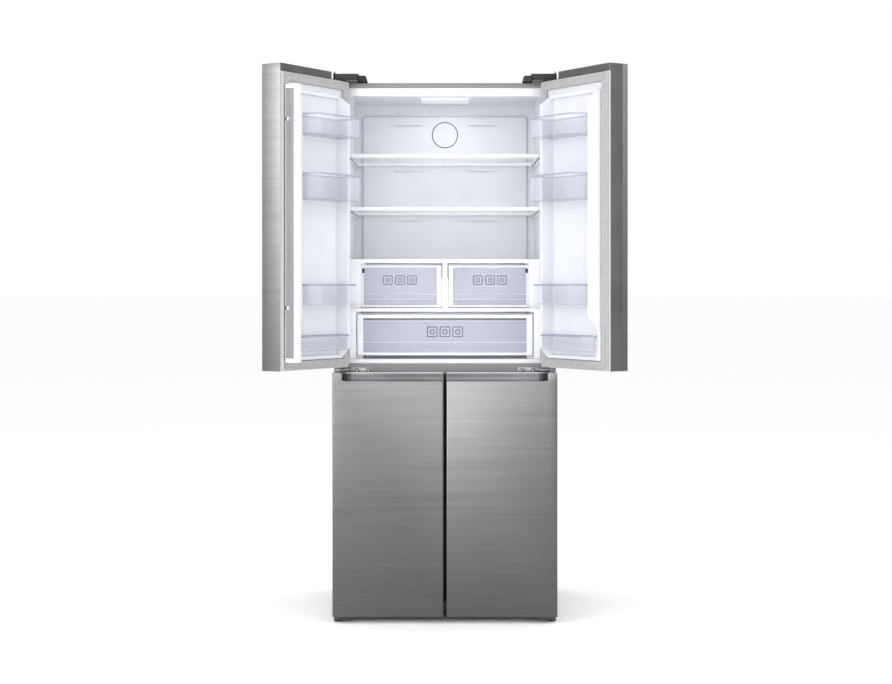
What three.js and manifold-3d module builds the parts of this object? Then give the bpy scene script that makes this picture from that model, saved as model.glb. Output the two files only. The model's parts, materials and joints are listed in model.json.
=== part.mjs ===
// A tall four-door refrigerator: two hinged doors over a fresh food compartment, two more over a
// freezer. Millimetres, +Z up, the front faces -Y, +X is the right of a person facing it.
// Lengths of the cabinet are counted from the front face of its front frame (y = 0, going back to
// positive y), and the last lines move the whole group so that the box of the open refrigerator is
// centred on the origin. The upper doors are drawn open, the lower doors closed.
import * as THREE from "three";
import { mergeVertices } from "three/addons/utils/BufferGeometryUtils.js";
import Module from "manifold-3d";

const wasm = await Module();
wasm.setup();

// ---------------------------------------------------------------- driving dimensions
const WIDTH = 794;
const CABINET_TOP = 1920;
const CABINET_BOTTOM = 34;
const CABINET_DEPTH = 630;
const SHEET = 3; // outer sheet metal
const LINER = 2; // inner plastic skin
const GAP = 0.3; // kept between pieces that touch
const FIT = 0.4; // kept between the foam and what it is poured against
const INNER_HALF = 349; // half the clear width of both compartments
const FRESH = { low: 931, high: 1900, back: 560, lip: 916, lipDepth: 20 };
const FREEZER = { low: 62, high: 883, back: 545, step: 280, stepBack: 395 };
const RAIL = { low: 885, high: 915 };
const POST_HALF = 38; // half the width of the post between the freezer doors

const DOOR_GAP = 14; // from the cabinet's front face to the back of a closed door
const DOOR_THICK = 80;
const DOOR_WIDTH = 391.7;
const PIVOT = { fromSide: 20, fromBack: 25 }; // the hinge line, inside the door
const DOOR_SKIN = 1.5;
const OPEN_ANGLE = 122.3; // how far the upper doors stand open, in degrees
const UPPER = { low: 905, high: 1946, notch: 1922, notchEnd: 76.5, capHeight: 27 };
const LOWER = { low: 26, high: 886, grip: 857 };
// The hinge side is set in further, so that the corner clears the cabinet as the door swings.
const GASKET = { inset: 3, hingeInset: 9, width: 30, thick: 12 };
const PIN = { radius: 5, bore: 6.3 };

const half = WIDTH / 2;
const pivotX = half - PIVOT.fromSide;
const pivotY = -(DOOR_GAP + PIVOT.fromBack);
const door = {
  side: -PIVOT.fromSide,
  free: DOOR_WIDTH - PIVOT.fromSide,
  front: PIVOT.fromBack - DOOR_THICK,
  back: PIVOT.fromBack,
};

// ---------------------------------------------------------------- finishes
const finish = (color, roughness, metalness = 0) =>
  new THREE.MeshStandardMaterial({ color, roughness, metalness });
const brushedSteel = finish(0xa9abae, 0.35, 0.9);
const greySteel = finish(0x8b8b8e, 0.45, 0.6);
const darkPlastic = finish(0x4a4c50, 0.5);
const blackPlastic = finish(0x2b2d30, 0.45);
const whiteLiner = finish(0xe8eaee, 0.45);
const clearPlastic = finish(0xcfd3e2, 0.15);
const lidGlass = finish(0xe3e8ee, 0.12);
const gasketRubber = finish(0xaeb0b1, 0.7);
const zincSteel = finish(0x9a9da0, 0.4, 0.8);
const foamYellow = finish(0xe3d9b0, 0.9);
const compressorBlack = finish(0x1d1e20, 0.5);
const aluminium = finish(0xc4c7ca, 0.35, 0.8);
const lampLens = finish(0xffffff, 0.3);

// ---------------------------------------------------------------- shape helpers
// A box from its low and high corners.
const block = (x0, x1, y0, y1, z0, z1) =>
  new THREE.BoxGeometry(x1 - x0, y1 - y0, z1 - z0).translate(
    (x0 + x1) / 2,
    (y0 + y1) / 2,
    (z0 + z1) / 2,
  );

const outline = (points) => new THREE.Shape(points.map(([a, b]) => new THREE.Vector2(a, b)));

const extrude = (shape, depth) =>
  new THREE.ExtrudeGeometry(shape, { depth, bevelEnabled: false, curveSegments: 5 });

// Extrusions of an outline along each axis: a plan (x, y), a front view (x, z) or a side view (y, z).
const prismZ = (shape, z0, z1) => extrude(shape, z1 - z0).translate(0, 0, z0);
const alongY = new THREE.Matrix4().makeBasis(
  new THREE.Vector3(1, 0, 0),
  new THREE.Vector3(0, 0, 1),
  new THREE.Vector3(0, -1, 0),
);
const prismY = (shape, y0, y1) => extrude(shape, y1 - y0).applyMatrix4(alongY).translate(0, y1, 0);
const alongX = new THREE.Matrix4().makeBasis(
  new THREE.Vector3(0, 1, 0),
  new THREE.Vector3(0, 0, 1),
  new THREE.Vector3(1, 0, 0),
);
const prismX = (shape, x0, x1) => extrude(shape, x1 - x0).applyMatrix4(alongX).translate(x0, 0, 0);

const rodZ = (radius, z0, z1, x = 0, y = 0, sides = 16) =>
  new THREE.CylinderGeometry(radius, radius, z1 - z0, sides)
    .rotateX(Math.PI / 2)
    .translate(x, y, (z0 + z1) / 2);
const rodX = (radius, x0, x1, y, z, sides = 16) =>
  new THREE.CylinderGeometry(radius, radius, x1 - x0, sides)
    .rotateZ(Math.PI / 2)
    .translate((x0 + x1) / 2, y, z);

function toSolid(geometry) {
  const bare = geometry.clone();
  bare.deleteAttribute("normal");
  bare.deleteAttribute("uv");
  const merged = mergeVertices(bare, 1e-4);
  const mesh = new wasm.Mesh({
    numProp: 3,
    vertProperties: merged.attributes.position.array,
    triVerts: new Uint32Array(merged.index.array),
  });
  return new wasm.Manifold(mesh);
}

function toGeometry(solid) {
  const { vertProperties, triVerts } = solid.getMesh();
  const geometry = new THREE.BufferGeometry();
  geometry.setAttribute("position", new THREE.BufferAttribute(vertProperties, 3));
  geometry.setIndex(new THREE.BufferAttribute(triVerts, 1));
  geometry.computeVertexNormals();
  return geometry;
}

// The pieces in add joined, less the pieces in cut.
function shape(add, cut = []) {
  let solid = toSolid(add[0]);
  for (const piece of add.slice(1)) {
    solid = solid.add(toSolid(piece));
  }
  for (const piece of cut) {
    solid = solid.subtract(toSolid(piece));
  }
  return toGeometry(solid);
}

function part(name, geometry, material, parent) {
  const mesh = new THREE.Mesh(geometry, material);
  mesh.name = name;
  parent.add(mesh);
  return mesh;
}

// The same outline on the left (side = -1) or mirrored to the right (side = 1) of the centre line.
const mirrored = (side, points) => outline(points.map(([a, b]) => [-side * a, b]));
const sideBlock = (side, a0, a1, y0, y1, z0, z1) =>
  block(Math.min(side * a0, side * a1), Math.max(side * a0, side * a1), y0, y1, z0, z1);
const sideName = (side) => (side < 0 ? "left" : "right");

const refrigerator = new THREE.Group();
const cabinet = new THREE.Group();
refrigerator.add(cabinet);

// ---------------------------------------------------------------- cabinet case
function buildCase() {
  const back = CABINET_DEPTH - SHEET;
  const wrapper = shape(
    [block(-half, half, SHEET + GAP, back - GAP, CABINET_BOTTOM, CABINET_TOP)],
    [block(-half + SHEET, half - SHEET, 0, CABINET_DEPTH, 0, CABINET_TOP - SHEET)],
  );
  part("cabinet_wrapper", wrapper, greySteel, cabinet);

  const edge = INNER_HALF + LINER + GAP;
  const frame = shape(
    [block(-half, half, 0, SHEET, CABINET_BOTTOM, CABINET_TOP)],
    [
      block(-edge, edge, -1, SHEET + 1, RAIL.high, FRESH.high + LINER + GAP),
      block(-edge, -POST_HALF, -1, SHEET + 1, FREEZER.low - LINER - GAP, RAIL.low + GAP),
      block(POST_HALF, edge, -1, SHEET + 1, FREEZER.low - LINER - GAP, RAIL.low + GAP),
    ],
  );
  part("front_frame", frame, greySteel, cabinet);

  const machineTop = 257;
  part(
    "back_panel",
    block(-half, half, back, CABINET_DEPTH, machineTop + 4, CABINET_TOP),
    greySteel,
    cabinet,
  );
  part("compressor_cover", buildLouvredCover(machineTop, back), darkPlastic, cabinet);
  part("base_pan", buildBasePan(), zincSteel, cabinet);
}

// The rear cover of the machine space: a flat plate with rows of air slots.
function buildLouvredCover(top, back) {
  const slots = [];
  for (const z of [90, 120, 150, 180, 210]) {
    for (const x of [-240, 0, 240]) {
      slots.push(block(x - 90, x + 90, back - 5, back + 5, z, z + 9));
    }
  }
  return shape([block(-half + 4, half - 4, back, CABINET_DEPTH, CABINET_BOTTOM + 6, top)], slots);
}

// ---------------------------------------------------------------- base, rollers and feet
const ROLLER = { x: 330, y: 570, z: 15, radius: 15, halfWidth: 10, axle: 4, bore: 4.2 };

function buildBasePan() {
  const plate = block(-half + SHEET + GAP, half - SHEET - GAP, 4, 626, CABINET_BOTTOM, 38);
  const pieces = [plate];
  for (const side of [-1, 1]) {
    for (const offset of [-16, 16]) {
      const x = side * ROLLER.x + offset;
      pieces.push(block(x - 2, x + 2, ROLLER.y - 14, ROLLER.y + 14, 8, CABINET_BOTTOM + 1));
    }
    const middle = side * ROLLER.x;
    pieces.push(rodX(ROLLER.axle, middle - 17, middle + 17, ROLLER.y, ROLLER.z, 12));
    const rib = side * 120;
    pieces.push(block(rib - 12, rib + 12, 30, 600, CABINET_BOTTOM - 6, CABINET_BOTTOM + 1));
  }
  return shape(pieces);
}

function buildRoller(side) {
  const { bore, radius, halfWidth } = ROLLER;
  const rim = 1.5;
  const profile = [
    [bore, -halfWidth],
    [radius - rim, -halfWidth],
    [radius, -halfWidth + rim],
    [radius, halfWidth - rim],
    [radius - rim, halfWidth],
    [bore, halfWidth],
    [bore, -halfWidth],
  ].map(([r, y]) => new THREE.Vector2(r, y));
  const wheel = new THREE.LatheGeometry(profile, 24)
    .rotateZ(Math.PI / 2)
    .translate(side * ROLLER.x, ROLLER.y, ROLLER.z);
  part(`rear_roller_${sideName(side)}`, wheel, blackPlastic, cabinet);
}

const FOOT = { x: 382, y: -26, pad: 13, stem: 6, padHeight: 8, plateLow: 18 };

function buildFrontFoot(side) {
  const profile = [
    [0, 0],
    [FOOT.pad - 2, 0],
    [FOOT.pad, 2],
    [FOOT.pad, FOOT.padHeight],
    [FOOT.stem, FOOT.padHeight + 2],
    [FOOT.stem, FOOT.plateLow - GAP],
    [0, FOOT.plateLow - GAP],
  ].map(([r, y]) => new THREE.Vector2(r, y));
  const foot = new THREE.LatheGeometry(profile, 20)
    .rotateX(Math.PI / 2)
    .translate(side * FOOT.x, FOOT.y, 0);
  part(`front_foot_${sideName(side)}`, foot, blackPlastic, cabinet);
}

// ---------------------------------------------------------------- insulation and liners
const freezerOutline = (grow) =>
  outline([
    [-1, FREEZER.low - grow],
    [FREEZER.stepBack + grow, FREEZER.low - grow],
    [FREEZER.stepBack + grow, FREEZER.step - grow],
    [FREEZER.back + grow, FREEZER.step - grow],
    [FREEZER.back + grow, FREEZER.high + grow],
    [-1, FREEZER.high + grow],
  ]);

function buildInsulation() {
  const side = half - SHEET - FIT;
  const pocket = INNER_HALF + LINER + FIT;
  const foam = shape(
    [block(-side, side, SHEET + FIT, 626, 38 + FIT, CABINET_TOP - SHEET - FIT)],
    [
      block(-pocket, pocket, -1, FRESH.back + LINER + FIT, FRESH.lip - FIT, FRESH.high + LINER + FIT),
      prismX(freezerOutline(LINER + FIT), -pocket, pocket),
      block(-half, half, 425, 640, 30, 257),
    ],
  );
  part("insulation_foam", foam, foamYellow, cabinet);
}

const SHELF_RIBS = [1655, 1462];

function buildLiners() {
  const outer = INNER_HALF + LINER;
  const ribs = [];
  for (const side of [-1, 1]) {
    for (const top of SHELF_RIBS) {
      ribs.push(sideBlock(side, INNER_HALF - 9, INNER_HALF + 1, 130, SHELF.back, top - 8, top));
    }
  }
  const fresh = shape(
    [
      shape(
        [
          block(-outer, outer, 0, FRESH.back + LINER, FRESH.low - LINER, FRESH.high + LINER),
          block(-outer, outer, 0, FRESH.lipDepth, FRESH.lip, FRESH.low),
        ],
        [block(-INNER_HALF, INNER_HALF, -1, FRESH.back, FRESH.low, FRESH.high)],
      ),
      ...ribs,
    ],
  );
  part("fresh_food_liner", fresh, whiteLiner, cabinet);

  const freezer = shape(
    [prismX(freezerOutline(LINER), -outer, outer)],
    [
      prismX(freezerOutline(0), -INNER_HALF, INNER_HALF),
      block(-outer - 1, outer + 1, -2, 0, 0, 1000),
      block(-POST_HALF - GAP, POST_HALF + GAP, -1, SHEET + GAP, 0, 1000),
    ],
  );
  part("freezer_liner", freezer, whiteLiner, cabinet);
}

// ---------------------------------------------------------------- inside the fresh food space
const DUCT = { half: 320, low: 960, high: 1855, thick: 13 };
const VENT_ROWS = [1818, 1640, 1446];

function buildDuctCover() {
  const vents = [];
  for (const z of VENT_ROWS) {
    for (const side of [-1, 1]) {
      vents.push(sideBlock(side, 92, 198, 500, FRESH.back + 5, z - 4, z + 4));
    }
  }
  const front = FRESH.back - DUCT.thick;
  const plate = block(-DUCT.half, DUCT.half, front, FRESH.back - GAP, DUCT.low, DUCT.high);
  part("duct_cover", shape([plate], vents), whiteLiner, cabinet);
  const lamp = block(-90, 90, 300, 437, 1889, FRESH.high - GAP);
  part("ceiling_lamp", lamp, lampLens, cabinet);
}

const SHELF = { half: 345, front: 105, back: 545, trimDepth: 12 };

// A glass plate with a taller trim along the front and the back.
function buildShelf(name, glassLow, trimLow, trimHigh) {
  const { half: side, front, back, trimDepth } = SHELF;
  const shelf = shape([
    block(-side, side, front + 2, back - 2, glassLow, glassLow + 5),
    block(-side, side, front, front + trimDepth, trimLow, trimHigh),
    block(-side, side, back - trimDepth, back, trimLow, trimHigh),
  ]);
  part(name, shelf, lidGlass, cabinet);
}

const CRISPER = { inner: 14, outer: 302, front: 101, back: 520, low: 1116, high: 1268, wall: 3 };
const CRISPER_TOP = { low: 1278, high: 1291, front: 101, legInner: 306 };
const FLEX = { half: 316, front: 51, back: 500, low: 943, high: 1090, wall: 3 };
const FLEX_TOP = { low: 1101, high: 1113, front: 60 };

function buildDrawerHousings() {
  const { low, high, front, legInner } = CRISPER_TOP;
  const legs = [-1, 1].map((side) =>
    sideBlock(side, legInner, SHELF.half, front, SHELF.back, FLEX_TOP.high + GAP, low + 4),
  );
  const crisperFrame = shape([
    block(-SHELF.half, SHELF.half, front, front + 12, low, high),
    block(-SHELF.half, SHELF.half, front + 2, SHELF.back, low + 2, low + 8),
    block(-9, 9, front, SHELF.back, 1220, low + 4),
    ...legs,
  ]);
  part("crisper_frame", crisperFrame, whiteLiner, cabinet);

  const pieces = [
    block(-SHELF.half, SHELF.half, FLEX_TOP.front, SHELF.back, FLEX_TOP.low, FLEX_TOP.high),
  ];
  for (const side of [-1, 1]) {
    pieces.push(sideBlock(side, 321, SHELF.half, 46, SHELF.back, FRESH.low + GAP, FLEX_TOP.low + 1));
    pieces.push(sideBlock(side, 296, 322, 70, SHELF.back, FRESH.low + GAP, FLEX.low - 1));
  }
  part("flex_drawer_frame", shape(pieces), whiteLiner, cabinet);
}

// An open box with a pull lip along the top of its front.
function tub(x0, x1, y0, y1, z0, z1, wall) {
  const lip = 8;
  return shape(
    [
      block(x0, x1, y0, y1, z0, z1),
      block(x0, x1, y0 - lip, y0 + 1, z1 - 14, z1),
    ],
    [block(x0 + wall, x1 - wall, y0 + wall, y1 - wall, z0 + wall, z1 + 1)],
  );
}

function buildDrawers() {
  const { inner, outer, front, back, low, high, wall } = CRISPER;
  for (const side of [-1, 1]) {
    const x0 = Math.min(side * inner, side * outer);
    const x1 = Math.max(side * inner, side * outer);
    const crisper = tub(x0, x1, front + 8, back, low, high, wall);
    part(`crisper_${sideName(side)}`, crisper, clearPlastic, cabinet);
  }
  const flex = tub(-FLEX.half, FLEX.half, FLEX.front + 8, FLEX.back, FLEX.low, FLEX.high, FLEX.wall);
  part("flex_drawer", flex, clearPlastic, cabinet);
}

// ---------------------------------------------------------------- freezer inside and machinery
const FREEZER_DRAWERS = [
  { row: "lower", low: 70, high: 322, back: 380 },
  { row: "upper", low: 340, high: 590, back: 470 },
];

function buildFreezer() {
  for (const side of [-1, 1]) {
    const x0 = Math.min(side * 4, side * 344);
    const x1 = Math.max(side * 4, side * 344);
    for (const { row, low, high, back } of FREEZER_DRAWERS) {
      const drawer = tub(x0, x1, 68, back, low, high, 4);
      part(`freezer_drawer_${row}_${sideName(side)}`, drawer, clearPlastic, cabinet);
    }
  }
}

function buildMachinery() {
  const fins = [block(-240, 240, 500, 508, 330, 600)];
  for (let x = -232; x <= 232; x += 29) {
    fins.push(block(x, x + 3, 507, 538, 334, 596));
  }
  part("evaporator", shape(fins), aluminium, cabinet);

  const blades = [rodZ(22, -14, 14)];
  const bladeTilt = Math.PI / 5;
  for (let i = 0; i < 5; i += 1) {
    const blade = block(18, 78, -18, 18, -1.5, 1.5).rotateX(bladeTilt);
    blades.push(blade.rotateZ((i * 2 * Math.PI) / 5));
  }
  const fan = shape(blades).rotateX(Math.PI / 2).translate(0, 515, 720);
  part("freezer_fan", fan, darkPlastic, cabinet);

  const dome = [
    [0, 44],
    [78, 44],
    [92, 58],
    [92, 150],
    [84, 184],
    [58, 206],
    [0, 214],
  ].map(([r, y]) => new THREE.Vector2(r, y));
  const can = new THREE.LatheGeometry(dome, 28).rotateX(Math.PI / 2).translate(210, 522, 0);
  const feet = block(110, 310, 482, 562, 38 + GAP, 48);
  const terminalBox = block(96, 128, 495, 549, 90, 150);
  part("compressor", shape([can, feet, terminalBox]), compressorBlack, cabinet);
}

// ---------------------------------------------------------------- hinges
function buildHinges(side) {
  const name = sideName(side);
  const group = new THREE.Group();
  group.position.set(side * pivotX, pivotY, 0);
  cabinet.add(group);
  // Inside the group the pin is at the origin, and a runs from the pin towards the centre line.
  const box = (a0, a1, y0, y1, z0, z1) =>
    block(Math.min(-side * a0, -side * a1), Math.max(-side * a0, -side * a1), y0, y1, z0, z1);
  const front = -pivotY; // the cabinet's front face

  const top = shape([
    box(-14, 64, -16, front + 80, 1924, 1929),
    box(-14, 64, front + 6, front + 80, CABINET_TOP + GAP, 1925),
    rodZ(PIN.radius, 1902, 1926),
  ]);
  part(`top_hinge_${name}`, top, zincSteel, group);

  const crown = prismY(
    mirrored(side, [
      [-20, 1923.6],
      [-20, 1946],
      [-11, 1955],
      [78, 1955],
      [86, 1946],
      [94, 1945],
      [99, 1923.6],
    ]),
    -24,
    front + 92,
  );
  const plan = prismZ(
    mirrored(side, [
      [-20, front + 92],
      [-20, -14],
      [-12, -23],
      [62, -23],
      [71, -14],
      [71, 31],
      [99, 31],
      [99, front + 92],
    ]),
    1900,
    1970,
  );
  const cover = toGeometry(
    toSolid(crown)
      .intersect(toSolid(plan))
      .subtract(toSolid(box(-17, 68, -20, front + 86, 1900, 1932))),
  );
  part(`top_hinge_cover_${name}`, cover, blackPlastic, group);

  const middle = shape([
    box(40, 116, front - 3 - GAP, front - GAP, 884, 902),
    box(-13, 50, front - 14, front - 2, 893, 898),
    box(-13, 40, -12, front - 4, 893, 898),
    rodZ(PIN.radius, 870, 922),
    ...[62, 103].map((a) =>
      new THREE.CylinderGeometry(7, 6, 4, 12).translate(-side * a, front - 5, 891.5),
    ),
  ]);
  part(`middle_hinge_${name}`, middle, zincSteel, group);

  const bottom = shape([
    box(-17, 52, -16, front + 60, FOOT.plateLow, FOOT.plateLow + 5),
    box(-17, 52, front + 8, front + 60, FOOT.plateLow + 4, CABINET_BOTTOM - GAP),
    rodZ(PIN.radius, FOOT.plateLow + 1, 46),
  ]);
  part(`bottom_hinge_${name}`, bottom, darkPlastic, group);
}

// ---------------------------------------------------------------- doors
// A door is drawn as if it were closed, around its hinge line: a runs from the hinge line towards
// the free edge, b from the front (negative) to the back. The right door is the left one mirrored.
function doorTools(side) {
  const box = (a0, a1, b0, b1, z0, z1) =>
    block(Math.min(-side * a0, -side * a1), Math.max(-side * a0, -side * a1), b0, b1, z0, z1);
  const plan = (points, z0, z1) => prismZ(mirrored(side, points), z0, z1);
  const across = (points, a0, a1) => {
    const x0 = Math.min(-side * a0, -side * a1);
    const x1 = Math.max(-side * a0, -side * a1);
    return prismX(outline(points), x0, x1);
  };
  const bore = (z0, z1) => rodZ(PIN.bore, z0, z1);
  return { box, plan, across, bore };
}

// The door's plan with its front corners rounded by chamfers of two steps.
function doorPlan(inset, backEdge) {
  const a0 = door.side + inset;
  const a1 = door.free - inset;
  const b0 = door.front + inset;
  const r = 6;
  return [
    [a0, backEdge],
    [a0, b0 + r],
    [a0 + r * 0.3, b0 + r * 0.3],
    [a0 + r, b0],
    [a1 - r, b0],
    [a1 - r * 0.3, b0 + r * 0.3],
    [a1, b0 + r],
    [a1, backEdge],
  ];
}

function gasketRing(tools, low, high) {
  const a0 = door.side + GASKET.hingeInset;
  const a1 = door.free - GASKET.inset;
  const b0 = door.back + GAP;
  const b1 = door.back + GASKET.thick;
  const z0 = low + GASKET.inset;
  const z1 = high - GASKET.inset;
  const w = GASKET.width;
  return shape(
    [tools.box(a0, a1, b0, b1, z0, z1)],
    [tools.box(a0 + w, a1 - w, b0 - 1, b1 + 1, z0 + w, z1 - w)],
  );
}

const DIKE = { sideLow: 34, sideHigh: 50, freeLow: 311, freeHigh: 335, crest: 73, top: 1864 };
const DIKE_BOTTOM = 940;

// The inner panel of an upper door, with the raised dikes that carry the bins.
function upperLiner(side, tools) {
  const { box, plan, across, bore } = tools;
  const slabTop = UPPER.high - UPPER.capHeight;
  const slab = plan(doorPlan(DOOR_SKIN + GAP, door.back), UPPER.low, slabTop - GAP);
  const dikeSide = [
    [door.back - 1, DIKE_BOTTOM],
    [door.back + 14, DIKE_BOTTOM],
    [DIKE.crest, DIKE_BOTTOM + 40],
    [DIKE.crest, DIKE.top - 34],
    [door.back + 4, DIKE.top],
    [door.back - 1, DIKE.top],
  ];
  const freeSide = [
    [door.back - 1, DIKE_BOTTOM],
    [door.back + 12, DIKE_BOTTOM],
    [door.back + 12, 1040],
    [DIKE.crest - 8, 1074],
    [DIKE.crest, 1090],
    [DIKE.crest, DIKE.top - 34],
    [door.back + 4, DIKE.top],
    [door.back - 1, DIKE.top],
  ];
  const pieces = [
    slab,
    across(dikeSide, DIKE.sideLow, DIKE.sideHigh),
    across(freeSide, DIKE.freeLow, DIKE.freeHigh),
    box(DIKE.sideHigh - 1, DIKE.freeLow + 1, door.back - 1, door.back + 10, 1852, 1864),
    box(DIKE.sideHigh - 1, DIKE.freeLow + 1, door.back - 1, door.back + 10, DIKE_BOTTOM, 952),
  ];
  const mullionHinges = side < 0 ? MULLION.hinges : [];
  for (const z of mullionHinges) {
    pieces.push(box(DIKE.freeHigh - 1, MULLION.a, MULLION.b - 6, MULLION.b + 6, z - 6, z + 6));
    pieces.push(rodZ(MULLION.pin, z - 22, z + 22, -side * MULLION.a, MULLION.b, 12));
  }
  const cuts = [bore(UPPER.low - 1, UPPER.low + 24), bore(slabTop - 24, slabTop + 1)];
  return shape(pieces, cuts);
}

// The post that folds out from the left door to close the slot between the two doors.
const MULLION = {
  a: 357,
  b: 47,
  radius: 9,
  length: 58,
  low: 936,
  high: 1872,
  pin: 3,
  hinges: [1119, 1756],
};

function buildMullion(parent) {
  const { a, b, radius, length, low, high, pin, hinges } = MULLION;
  const plan = new THREE.Shape();
  plan.moveTo(a - radius, b);
  plan.absarc(a, b, radius, Math.PI, 2 * Math.PI, false);
  plan.lineTo(a + radius, b - radius + length);
  plan.lineTo(a - radius, b - radius + length);
  const cuts = [];
  for (const z of hinges) {
    cuts.push(block(a - radius - 1, a + radius + 1, b - radius - 1, b + 13, z - 6.6, z + 6.6));
    cuts.push(rodZ(pin + GAP, z - 24, z + 24, a, b, 12));
  }
  const plate = { b0: b - 2, b1: b + 31, z0: low + 14, z1: high - 14 };
  const recess = block(
    a + radius - 1.6,
    a + radius + 1,
    plate.b0 - GAP,
    plate.b1 + GAP,
    plate.z0 - GAP,
    plate.z1 + GAP,
  );
  part("mullion_frame", shape([prismZ(plan, low, high)], [...cuts, recess]), whiteLiner, parent);
  const plateFront = a + radius - 1.3;
  const steel = shape(
    [block(plateFront, a + radius - 0.1, plate.b0, plate.b1, plate.z0, plate.z1)],
    hinges.map((z) => block(plateFront - 1, a + radius + 1, plate.b0 - 1, b + 13, z - 6.6, z + 6.6)),
  );
  part("mullion_plate", steel, greySteel, parent);
}

const BIN_WALL = 2.5;
// A deep bin's plan; its hinge-side corner is cut back by corner so that a crisper can pass it.
const deepBin = (corner) => [
  [54, 28],
  [54, 136 - corner],
  [54 + corner, 136],
  [286, 136],
  [309, 94],
  [309, 28],
];
const SHALLOW_BIN = [
  [54, 28],
  [54, 78],
  [62, 86],
  [296, 86],
  [326, 62],
  [326, 40],
  [309, 40],
  [309, 28],
];

const BINS = [
  { low: 1708, high: 1779, plan: deepBin(10) },
  { low: 1488, high: 1578, plan: deepBin(10) },
  { low: 1130, high: 1200, plan: deepBin(31) },
  { low: 971, high: 1024, plan: SHALLOW_BIN },
];

// The outline moved inwards by the wall's thickness: each corner goes along its own bisector.
function insetOutline(points, wall) {
  const count = points.length;
  const turn = points.reduce((sum, [a, b], i) => {
    const [c, d] = points[(i + 1) % count];
    return sum + a * d - c * b;
  }, 0);
  const inward = Math.sign(turn);
  const normal = ([a, b], [c, d]) => {
    const length = Math.hypot(c - a, d - b);
    return [(-inward * (d - b)) / length, (inward * (c - a)) / length];
  };
  return points.map((point, i) => {
    const n0 = normal(points[(i + count - 1) % count], point);
    const n1 = normal(point, points[(i + 1) % count]);
    const scale = wall / (1 + n0[0] * n1[0] + n0[1] * n1[1]);
    return [point[0] + (n0[0] + n1[0]) * scale, point[1] + (n0[1] + n1[1]) * scale];
  });
}

function buildBins(side, tools, parent) {
  BINS.forEach(({ low, high, plan }, i) => {
    const inside = tools.plan(insetOutline(plan, BIN_WALL), low + 3, high + 1);
    const bin = shape([tools.plan(plan, low, high)], [inside]);
    part(`door_bin_${sideName(side)}_${i + 1}`, bin, clearPlastic, parent);
  });
}

function hungDoor(side, openAngle) {
  const group = new THREE.Group();
  group.position.set(side * pivotX, pivotY, 0);
  group.rotation.z = side * THREE.MathUtils.degToRad(openAngle);
  cabinet.add(group);
  return group;
}

// Front sheet with both sides folded back.
function doorSkin(tools, low, high) {
  const inner = doorPlan(DOOR_SKIN, door.back + 2);
  return {
    outer: tools.plan(doorPlan(0, door.back), low, high),
    inner: tools.plan(inner, low - 1, high + 1),
  };
}

function buildUpperDoor(side) {
  const name = `upper_door_${sideName(side)}`;
  const group = hungDoor(side, OPEN_ANGLE);
  const tools = doorTools(side);
  const { low, high, notch, notchEnd, capHeight } = UPPER;
  const { outer, inner } = doorSkin(tools, low, high);
  const notchCut = tools.box(door.side - 1, notchEnd, door.front - 1, door.back + 1, notch, high + 1);
  part(`${name}_skin`, shape([outer], [inner, notchCut]), brushedSteel, group);
  part(`${name}_liner`, upperLiner(side, tools), whiteLiner, group);
  part(`${name}_gasket`, gasketRing(tools, low, high - capHeight), gasketRubber, group);
  const capSide = door.free - DOOR_SKIN - GAP;
  const cap = shape(
    [tools.plan(doorPlan(DOOR_SKIN + GAP, door.back), high - capHeight, high)],
    [
      tools.box(door.side - 1, notchEnd + 2, door.front - 1, door.back + 1, notch - 0.5, high + 1),
      tools.box(notchEnd + 12, capSide - 10, door.front + 12, door.back - 10, high - 4, high + 1),
      tools.bore(high - capHeight - 1, high),
    ],
  );
  part(`${name}_cap`, cap, darkPlastic, group);
  buildBins(side, tools, group);
  if (side < 0) buildMullion(group);
}

function buildLowerDoor(side) {
  const name = `lower_door_${sideName(side)}`;
  const group = hungDoor(side, 0);
  const tools = doorTools(side);
  const { low, high, grip } = LOWER;
  const blockEnd = 11; // the solid corner over the pin
  const { outer, inner } = doorSkin(tools, low, high);
  const overGrip = tools.box(blockEnd, door.free + 1, door.front - 1, -18, grip, high + 1);
  part(`${name}_skin`, shape([outer], [inner, overGrip]), brushedSteel, group);

  // The finger channel along the top: its floor rises in a curve to a low wall at the back.
  const channel = new THREE.Shape();
  channel.moveTo(door.front - 1, grip);
  channel.lineTo(door.front + 6, grip);
  channel.absellipse(door.front + 8, high + 4, 30, high + 4 - grip, -Math.PI / 2, 0, false, 0);
  channel.lineTo(door.front - 1, high + 4);
  const span = [blockEnd, door.free + 1].map((a) => -side * a).sort((p, q) => p - q);
  const scoop = prismX(channel, span[0], span[1]);
  const deepEnd = tools.box(blockEnd, 25, door.front - 1, -4, grip, high + 1);
  const slab = tools.plan(doorPlan(DOOR_SKIN + GAP, door.back), low, high);
  const tray = tools.box(40, 330, door.back - 1, door.back + 14, low + 50, high - 50);
  const pan = tools.box(52, 318, door.back + 3, door.back + 15, low + 62, high - 62);
  const bores = [tools.bore(low - 1, low + 24), tools.bore(high - 24, high + 1)];
  part(`${name}_liner`, shape([slab, tray], [scoop, deepEnd, pan, ...bores]), whiteLiner, group);
  part(`${name}_gasket`, gasketRing(tools, low, high), gasketRubber, group);
}

// ---------------------------------------------------------------- the whole refrigerator
buildCase();
buildInsulation();
buildLiners();
buildDuctCover();
buildShelf("shelf_top", 1664, 1661, 1675);
buildShelf("shelf_middle", 1471, 1468, 1482);
buildDrawerHousings();
buildDrawers();
buildFreezer();
buildMachinery();
for (const side of [-1, 1]) {
  buildRoller(side);
  buildFrontFoot(side);
  buildHinges(side);
  buildUpperDoor(side);
  buildLowerDoor(side);
}

// The open doors reach about 400 in front of the cabinet's face, which itself is 630 deep.
cabinet.position.y = -115;

export default refrigerator;
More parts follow.
